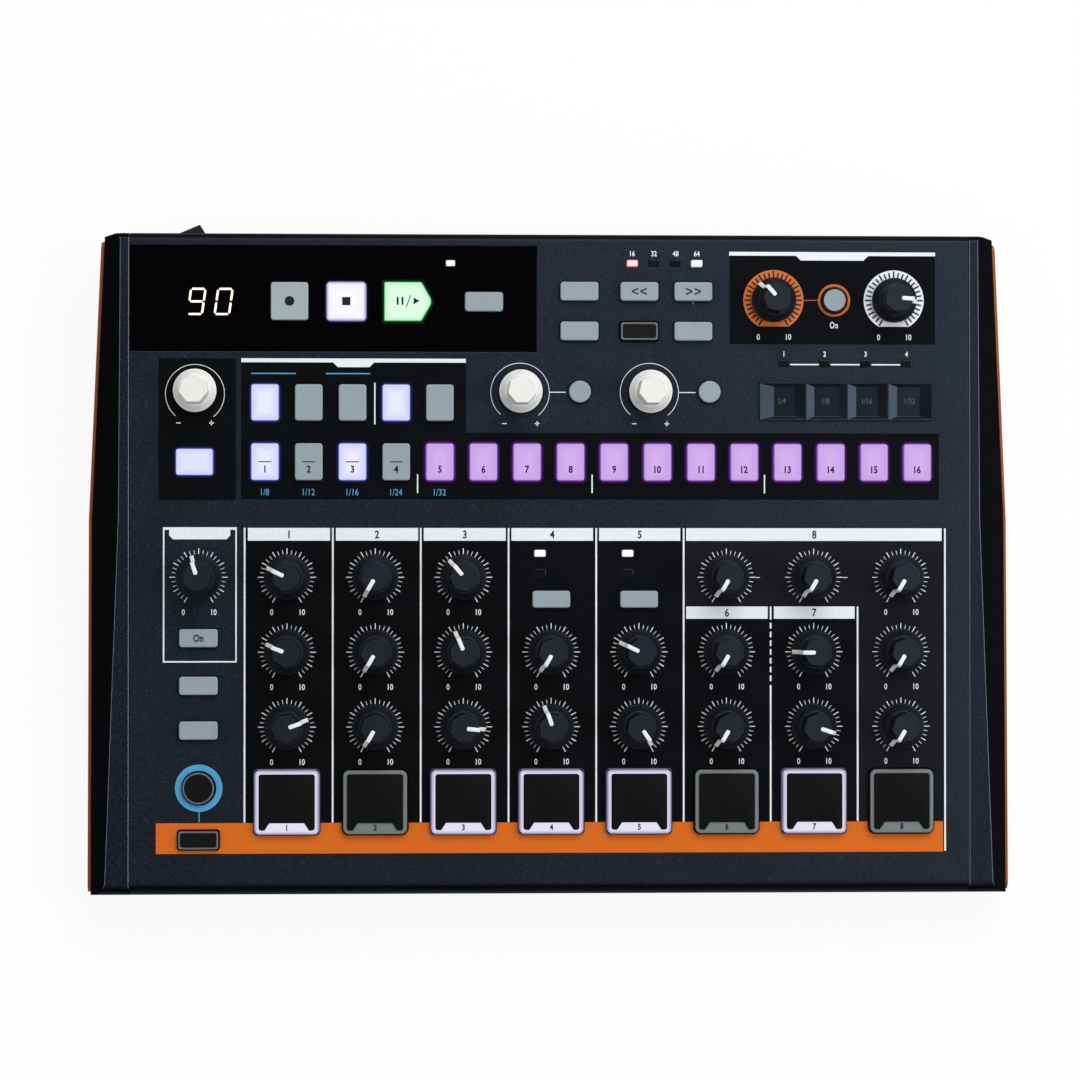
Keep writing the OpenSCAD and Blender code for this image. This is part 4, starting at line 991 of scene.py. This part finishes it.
faces = {  # a smaller grey face on the round output key, and a grey line let into each black key
    "low": 1.2, "output": 3.75, "outputTop": 1.68, "outputEdge": 0.15, "corner": 0.8, "edge": 0.05,
    "parts": (("line", 0.22, 1.62, greyRim), ("face", 0.75, 1.66, darkCap)),
}
for name, u, v, width, depth in rounds:
    if isAt(u, v, keyLook["outputAt"]):
        plate = addRod(0, 0, faces["output"], faces["low"], faces["outputTop"])
        bevelEdges(plate, atHeight(faces["outputTop"]), faces["outputEdge"], 2)
        dress(settle(plate, u, v), f"{name}_face", "round_buttons", greySilicone, "key_grey")
for k, (name, u, v, width, depth) in enumerate(functions + rounds):
    if isDarkKey(u, v):
        for part, inset, height, material in faces["parts"]:
            across, along = width / 2 - inset, depth / 2 - inset
            if k < len(functions):
                plate = addBlock((-across, -along, faces["low"]), (across, along, height))
                bevelEdges(plate, upright, faces["corner"], 4)
            else:
                plate = addRod(0, 0, across, faces["low"], height)
            bevelEdges(plate, atHeight(height), faces["edge"])
            body = "function_buttons" if k < len(functions) else "round_buttons"
            dress(settle(plate, u, v), f"{name}_{part}", body, material, "key_grey")

# numbers and signs on the keys; blocks as left, front, right and rear from the key's middle
signs = {
    "face": 1.55, "low": 1.52, "top": 1.57,
    "step": {"height": 2.35, "down": 2.5, "narrow": 0.85, "bold": 0.11},
    "underline": (-2.2, -0.18, 2.2, 0.16),
    "playBars": ((-3.75, -1.2, -3.1, 1.5), (-2.1, -1.2, -1.45, 1.5)),
    "playSlash": (0.25, 0.1, 4.3, 0.3, 20), "playHead": (2.67, 0.15, 1.33), "dot": 1.65,
    "square": (-1.4, -1.4, 1.4, 1.4), "on": (2.4, -120.0, 87.2), "onBold": 0.1,
    "arrows": ((30.1, -1), (48.6, 1)), "arrowRow": 205.6, "arrowApart": 1.45, "arrowLine": (2.35, 0.48),
    "arrowHalves": ((0.5, -66), (-0.5, 66)),
}


def sign(u, v, place):
    left, front, right, rear = place
    return addBlock((u + left, v + front, signs["low"]), (u + right, v + rear, signs["top"]))


def slash(u, v, length, width, angle):
    return moved(sign(0, 0, (-width / 2, -length / 2, width / 2, length / 2)), u, v, angle)


stepSigns = []
size = signs["step"]
for k, (name, u, v, width, depth) in enumerate(steps):
    stepSigns.append(word(str(k + 1), size["height"], u, v - size["down"], signs["face"], size["narrow"],
                          size["bold"]))
    if k < 4:
        stepSigns.append(sign(u, v, signs["underline"]))
dress(settle(joined(stepSigns)), "step_numbers", "step_buttons", inkBlack, "print_black")

u, v = playPlace
across, along, length, width, angle = signs["playSlash"]
right, up, radius = signs["playHead"]
playSigns = [sign(u, v, place) for place in signs["playBars"]]
playSigns.append(slash(u + across, v + along, length, width, angle))
playSigns.append(addRod(u + right, v + up, radius, signs["low"], signs["top"], 3, -90))
dress(settle(joined(playSigns)), "play_signs", "play_button", inkBlack, "print_black")
u, v = middleOf(solidBoxes("record_button")[0])
dot = addRod(u, v, signs["dot"], signs["low"], signs["top"], 32)
dress(settle(dot), "record_dot", "record_button", inkBlack, "print_black")
u, v = middleOf(solidBoxes("stop_button")[0])
dress(settle(sign(u, v, signs["square"])), "stop_square", "stop_button", inkBlack, "print_black")
arrows = []
for u, way in signs["arrows"]:
    for shift in (-signs["arrowApart"], signs["arrowApart"]):
        for half, angle in signs["arrowHalves"]:
            arrows.append(slash(u + shift, signs["arrowRow"] + half, *signs["arrowLine"], way * angle))
arrows.append(word("On", *signs["on"], signs["face"], bold=signs["onBold"]))
dress(settle(joined(arrows)), "function_signs", "function_buttons", inkBlack, "print_black")
print("keys done")

# drum pads

pads = {
    "rim": 1.5, "rimDown": 0.5, "rimEdge": 0.6, "flat": 0.9, "corner": 2.2, "stem": (2.8, 3.5, 24),
    "rubberDepth": 0.8, "rubberCorner": 0.9, "rubberEdge": 0.22, "notchWidth": 11.8, "notchDepth": 2.5,
    "notchFlare": 1.5, "number": 2.0, "numberIn": 0.95, "numberBold": 0.1, "lit": (1, 3, 4, 5, 7),
    "glow": {"middle": "#f0ebff", "between": "#cfc8e8", "betweenAt": 0.5, "edge": "#3c3a48",
             "strength": 0.8, "body": "#4a4a52", "bodyShade": "#585862"},
    # off: turned is painted shade on the outer sides of the unlit pad frames
    "off": {"color": "#6f7678", "shade": "#7a8183", "grain": 0.4, "clouds": 6, "rough": (0.42, 0.52),
            "bump": 0.15, "turned": "#191a1b", "turnedFrom": (0.97, 0.7), "turnedSpecular": 0.2,
            "specular": 0.3},
    "rubber": {"color": "#0b0b0b", "shade": "#101011", "grain": 0.5, "rough": (0.6, 0.72), "bump": 0.35,
               "relief": 0.04, "edge": "#1c1c1e", "edgeWidth": 0.3, "specular": 0.12},
}
padGlow = litSurface("padGlow", pads["glow"])
padOff = surface("padOff", pads["off"])
padRubber = surface("padRubber", pads["rubber"])
low, high = solidBoxes("pad_1")[0]
padHalf, padTop = (high.x - low.x) / 2, high.z
rimTop = padTop - pads["rimDown"]
half = padHalf - pads["rim"]

padFrame = addBlock((-padHalf, -padHalf, keyLook["low"]), (padHalf, padHalf, rimTop))
bevelEdges(padFrame, upright, pads["corner"], 6)
bevelEdges(padFrame, atHeight(rimTop), pads["rimEdge"], 4)
insetTop(padFrame, rimTop, ((pads["flat"], 0.0),))
padFrame = withStem(padFrame, *pads["stem"])
markRim(padFrame, padHalf, padHalf, keyLook["smallReach"], rimTop)
smooth(padFrame)

rubber = addBlock((-half, -half, rimTop - pads["rubberDepth"]), (half, half, padTop))
bevelEdges(rubber, upright, pads["rubberCorner"], 4)
side = pads["notchWidth"] / 2
notch = addBlock((-side, -half - 2, rimTop - 3), (side, -half + pads["notchDepth"], padTop + 2))
pickFaces(notch, lambda centre, normal: normal.y < -0.9)
bpy.ops.transform.resize(value=(pads["notchFlare"], 1, 1), center_override=(0, 0, 0))
endEdit()
cut = rubber.modifiers.new("notch", "BOOLEAN")
cut.operation, cut.object, cut.solver = "DIFFERENCE", notch, "EXACT"
pickOnly(rubber)
bpy.ops.object.modifier_apply(modifier="notch")
throwAway(notch)
bevelEdges(rubber, atHeight(padTop), pads["rubberEdge"], 2)
smooth(rubber)

litPads = []
for k in range(1, 9):
    node = f"pad_{k}"
    u, v = middleOf(solidBoxes(node)[0])
    rimMaterial = padOff
    if k in pads["lit"]:
        rimMaterial = padGlow
        litPads.append((u, v, 2 * padHalf, 2 * padHalf))
    dress(settle(copyOf(padFrame), u, v), f"pad_rim_{k}", node, rimMaterial, "pad_rubber", (node,))
    dress(settle(copyOf(rubber), u, v), f"pad_face_{k}", node, padRubber, "pad_rubber")
    number = word(str(k), pads["number"], 0, pads["numberIn"] - half, rimTop, bold=pads["numberBold"])
    dress(settle(number, u, v), f"pad_number_{k}", node, inkBlack, "print_black")
throwAway(padFrame, rubber)
placeLeaks("pad", litPads, "pad_rubber", leaks["padShare"])
print("pads done")

# knobs

knobLook = {
    "skirt": 15.3, "skirtLow": 0.6, "skirtTop": 2.3, "skirtEdge": 0.25, "encoderSkirt": 14.7,
    "grip": 10.8, "gripFrom": 3.0, "sides": 7, "flatIn": 0.62, "taper": 0.955, "top": 13.8, "topEdge": 0.45,
    "cornerEdge": 0.55, "topDish": ((0.5, 0.0), (0.5, 0.03)), "shaft": (3.0, -8.8, 4.0, 24),
    "black": {"color": "#16181c", "shade": "#1e2127", "clouds": 8, "rough": (0.42, 0.52), "relief": 0.025,
              "edge": "#343943", "edgeWidth": 0.3, "wear": 0.5, "specular": 0.4, "tint": "#d4e2ff",
              # turned: painted shade that keeps the knob's sides darker than its top
              "turned": "#0e1013", "turnedFrom": (0.92, 0.6), "turnedSpecular": 0.25},
    "white": {"color": "#e4e4e1", "shade": "#eeeeeb", "clouds": 8, "rough": (0.4, 0.5), "bump": 0.2,
              "relief": 0.02, "edge": "#f6f6f3", "edgeWidth": 0.3, "specular": 0.3},
}
knobBlack = surface("knobBlack", knobLook["black"])
knobWhite = surface("knobWhite", knobLook["white"])


def modelKnob(skirt):
    radius, grip, top, low = skirt / 2, knobLook["grip"] / 2, knobLook["top"], knobLook["skirtLow"]
    base = addRod(0, 0, radius, low, knobLook["skirtTop"], 64)
    bevelEdges(base, atHeight(low), knobLook["skirtEdge"], 2)
    pickTop(base, knobLook["skirtTop"])
    cone = radius - 0.5 - grip - 0.9  # between the skirt's rounded edge and the step up to the grip
    insetPicked(((0.25, -0.12), (0.25, -0.28), (cone, -1.0), (0.35, -0.3), (0.3, -0.6)))
    smooth(base, 40)
    corner = (grip - knobLook["flatIn"]) / math.cos(math.pi / knobLook["sides"])
    cap = addRod(0, 0, corner, knobLook["gripFrom"], top, knobLook["sides"])
    pickTop(cap, top)
    taper = knobLook["taper"]
    bpy.ops.transform.resize(value=(taper, taper, 1), center_override=(0, 0, top * mm))
    endEdit()
    bevelEdges(cap, lambda a, b: abs(a.z - b.z) > 5, knobLook["cornerEdge"], 4)
    bevelEdges(cap, atHeight(top), knobLook["topEdge"], 4)
    pickFaces(cap, lambda centre, normal: normal.z > 0.98 and centre.z > top - 0.05)
    bpy.ops.transform.resize(value=(1, 1, 0), center_override=(0, 0, top * mm))
    endEdit()
    insetTop(cap, top, knobLook["topDish"])
    smooth(cap, 30)
    radius, low, high, sides = knobLook["shaft"]
    return joined([base, cap, addRod(0, 0, radius, low, high, sides)])


pointerLook = {  # a strip across the top and down the side; its path is how far out and how high
    "width": 1.4, "thick": 0.5, "tip": 0.55, "soft": 0.12,
    "path": ((0.9, 13.98), (4.7, 13.98), (5.1, 13.84), (5.38, 13.4), (5.68, 4.9), (6.35, 3.95), (7.23, 2.85),
             (7.71, 2.2), (7.71, 1.5)),
    "paint": {"color": "#e6e8e8", "shade": "#f2f3f3", "rough": (0.4, 0.5), "bump": 0.1},
}
pointerWhite = surface("pointerWhite", pointerLook["paint"])


def modelPointer():  # drawn along its path, then given its thickness
    path = pointerLook["path"]
    (start, height), (end, height) = path[:2]
    pickNothing()
    bpy.ops.mesh.primitive_plane_add(size=1, location=(0, 0, 0))
    strip = bpy.context.active_object
    strip.scale = (pointerLook["width"] * mm, (end - start) * mm, 1)
    strip.location = (0, (start + end) / 2 * mm, height * mm)
    applyPlace()
    for (y0, z0), (y1, z1) in zip(path[1:], path[2:]):
        pickEdges(strip, lambda a, b: all(abs(p.y - y0) < close and abs(p.z - z0) < close for p in (a, b)))
        bpy.ops.mesh.extrude_edges_move(TRANSFORM_OT_translate={"value": (0, (y1 - y0) * mm, (z1 - z0) * mm)})
        endEdit()
    pick(strip, "VERT", lambda point: abs(point.co.y / mm - start) < close)
    bpy.ops.mesh.bevel(offset=pointerLook["tip"] * mm, segments=4, affect="VERTICES")
    bpy.ops.mesh.select_all(action="SELECT")
    bpy.ops.mesh.normals_make_consistent(inside=False)
    endEdit()
    if sum(face.normal.z * face.area for face in strip.data.polygons) < 0:
        pick(strip, "FACE", lambda face: True)
        bpy.ops.mesh.flip_normals()
        endEdit()
    wall = strip.modifiers.new("wall", "SOLIDIFY")
    wall.thickness, wall.offset = pointerLook["thick"] * mm, -1
    soft = strip.modifiers.new("soft", "BEVEL")
    soft.width, soft.segments = pointerLook["soft"] * mm, 2
    soft.limit_method, soft.angle_limit = "ANGLE", math.radians(50)
    pickOnly(strip)
    bpy.ops.object.modifier_apply(modifier="wall")
    bpy.ops.object.modifier_apply(modifier="soft")
    smooth(strip)
    return strip


knob, pointer, encoder = modelKnob(knobLook["skirt"]), modelPointer(), modelKnob(knobLook["encoderSkirt"])
for name, place in knobs.items():
    stem = name.replace("_knob", "")
    dress(settle(copyOf(knob), *place), stem + "_cap", name, knobBlack, "knob_black", (name,))
    dress(settle(copyOf(pointer), *place), stem + "_pointer", name, pointerWhite, "print_white")
for name, (u, v, angle) in encoders.items():
    wheel = name.replace("_encoder", "_wheel")
    dress(settle(copyOf(encoder), u, v), wheel, name, knobWhite, "knob_white", (name,))
throwAway(knob, pointer, encoder)
print("knobs done")

# lamps and digits

lamps = {
    "low": -1.6, "top": 0.2, "corner": 0.55, "edge": 0.15, "dish": ((0.25, 0.0), (0.3, 0.03)), "reach": 0.7,
    "litAt": ((-3.8, 116.1), (26.2, 116.1), (49.9, 215.3)), "redAt": ((27.8, 215.3),),
    "underAt": -34.4, "underScale": (0.8, 0.85, 0.1),
    "white": {"middle": "#ffffff", "between": "#f4f2ff", "edge": "#8e8ea8", "betweenAt": 0.6, "strength": 1.0,
              "body": "#606068", "bodyShade": "#6a6a72"},
    "red": {"middle": "#fff0f0", "between": "#ffb8b8", "edge": "#c01818", "betweenAt": 0.5, "strength": 1.0,
            "body": "#6a3030", "bodyShade": "#703838"},
    "dark": {"color": "#0b0c0e", "shade": "#131416", "grain": 0.4, "rough": (0.18, 0.28), "bump": 0.1,
             "edge": "#303236", "edgeWidth": 0.25, "specular": 0.4},
}
lampWhite = litSurface("lampWhite", lamps["white"])
lampRed = litSurface("lampRed", lamps["red"])
lampDark = surface("lampDark", lamps["dark"])


def modelLens(low, high):  # one lens round the origin, as large as the solid between these corners
    wide, deep, top, edge = (high.x - low.x) / 2, (high.y - low.y) / 2, lamps["top"], lamps["edge"]
    lens = addBlock((-wide, -deep, lamps["low"]), (wide, deep, top))
    bevelEdges(lens, upright, lamps["corner"], 4)
    bevelEdges(lens, atHeight(top), edge, 2)
    dishTop(lens, top, wide - edge, deep - edge, lamps["dish"])
    markRim(lens, wide, deep, lamps["reach"], top)
    smooth(lens)
    return lens


lensBoxes = solidBoxes("indicator_lenses")
lens = modelLens(*lensBoxes[0])
for k, (low, high) in enumerate(lensBoxes):
    u, v = middleOf((low, high))
    piece, material = copyOf(lens), lampDark
    if isAt(u, v, lamps["redAt"]):
        material = lampRed
    if isAt(u, v, lamps["litAt"]) or high.z < 0:
        material = lampWhite
    if high.z < 0:  # these four shine through the window, so only the one that is lit shows on its face
        if abs(u - lamps["underAt"]) > 1:
            throwAway(piece)
            continue
        piece.scale = lamps["underScale"]
        applyPlace()
    dress(settle(piece, u, v), f"lamp_{k + 1}", "case", material, "lamp_lens")
throwAway(lens)
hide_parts("indicator_lenses")

digits = {  # bar: width of a segment; spread: how much larger its halo is
    "centres": ((-120.8, "9"), (-111.6, "0")), "row": 201.75, "height": 8.6, "width": 4.9, "bar": 0.64,
    "lean": 8.0, "gap": 0.25, "taper": 0.42, "spread": 0.36, "segments": {"0": "abcdef", "9": "abcdfg"},
    "glowHeights": (0.015, 0.045), "haloHeights": (-0.01, 0.02),
    "glow": {"color": "#fff2da", "shade": "#fff8ea", "grain": 0.5, "rough": (0.4, 0.5), "glow": "#fff0d2",
             "glowStrength": 0.95},
    "halo": {"color": "#2a1404", "shade": "#341a06", "grain": 0.5, "rough": (0.4, 0.5), "glow": "#8a4410",
             "glowStrength": 0.4},
}


def modelDigit(centre, text, grow, low, high):
    wide, tall, width = digits["width"] / 2, digits["height"] / 2, digits["bar"] + grow
    slope = math.tan(math.radians(digits["lean"]))
    spots = {"a": (0, tall, False), "g": (0, 0, False), "d": (0, -tall, False), "f": (-wide, tall / 2, True),
             "b": (wide, tall / 2, True), "e": (-wide, -tall / 2, True), "c": (wide, -tall / 2, True)}
    pieces = []
    for letter in digits["segments"][text]:
        u, v, standing = spots[letter]
        length = (tall if standing else digits["width"]) - digits["bar"] * 0.5 - digits["gap"] + grow
        piece = addBlock((-length / 2, -width / 2, low), (length / 2, width / 2, high))
        bevelEdges(piece, upright, width * digits["taper"])
        turn = digits["lean"] - 90 if standing else 0
        pieces.append(moved(piece, centre + u + v * slope, v + digits["row"], turn))
    return pieces


for name, part, grow in (("lit_segments", "glow", 0.0), ("segment_halo", "halo", digits["spread"])):
    pieces = []
    for centre, text in digits["centres"]:
        pieces += modelDigit(centre, text, grow, *digits[part + "Heights"])
    dress(settle(joined(pieces)), name, "case", surface("segment" + part.title(), digits[part]), "lit_digits")

# numbers engraved in the touch strip, drawn light grey: a painted highlight of their engraved edges
stripMarks = {"height": 2.0, "row": 168.3, "w": -0.3,
              "marks": (("1/4", 79.2), ("1/8", 94.3), ("1/16", 108.5), ("1/32", 123.2))}
stripNumbers = [word(text, stripMarks["height"], u, stripMarks["row"], stripMarks["w"])
                for text, u in stripMarks["marks"]]
dress(settle(joined(stripNumbers)), "strip_numbers", "case", engravedHighlight, "strip_plastic")
print("lamps and digits done")
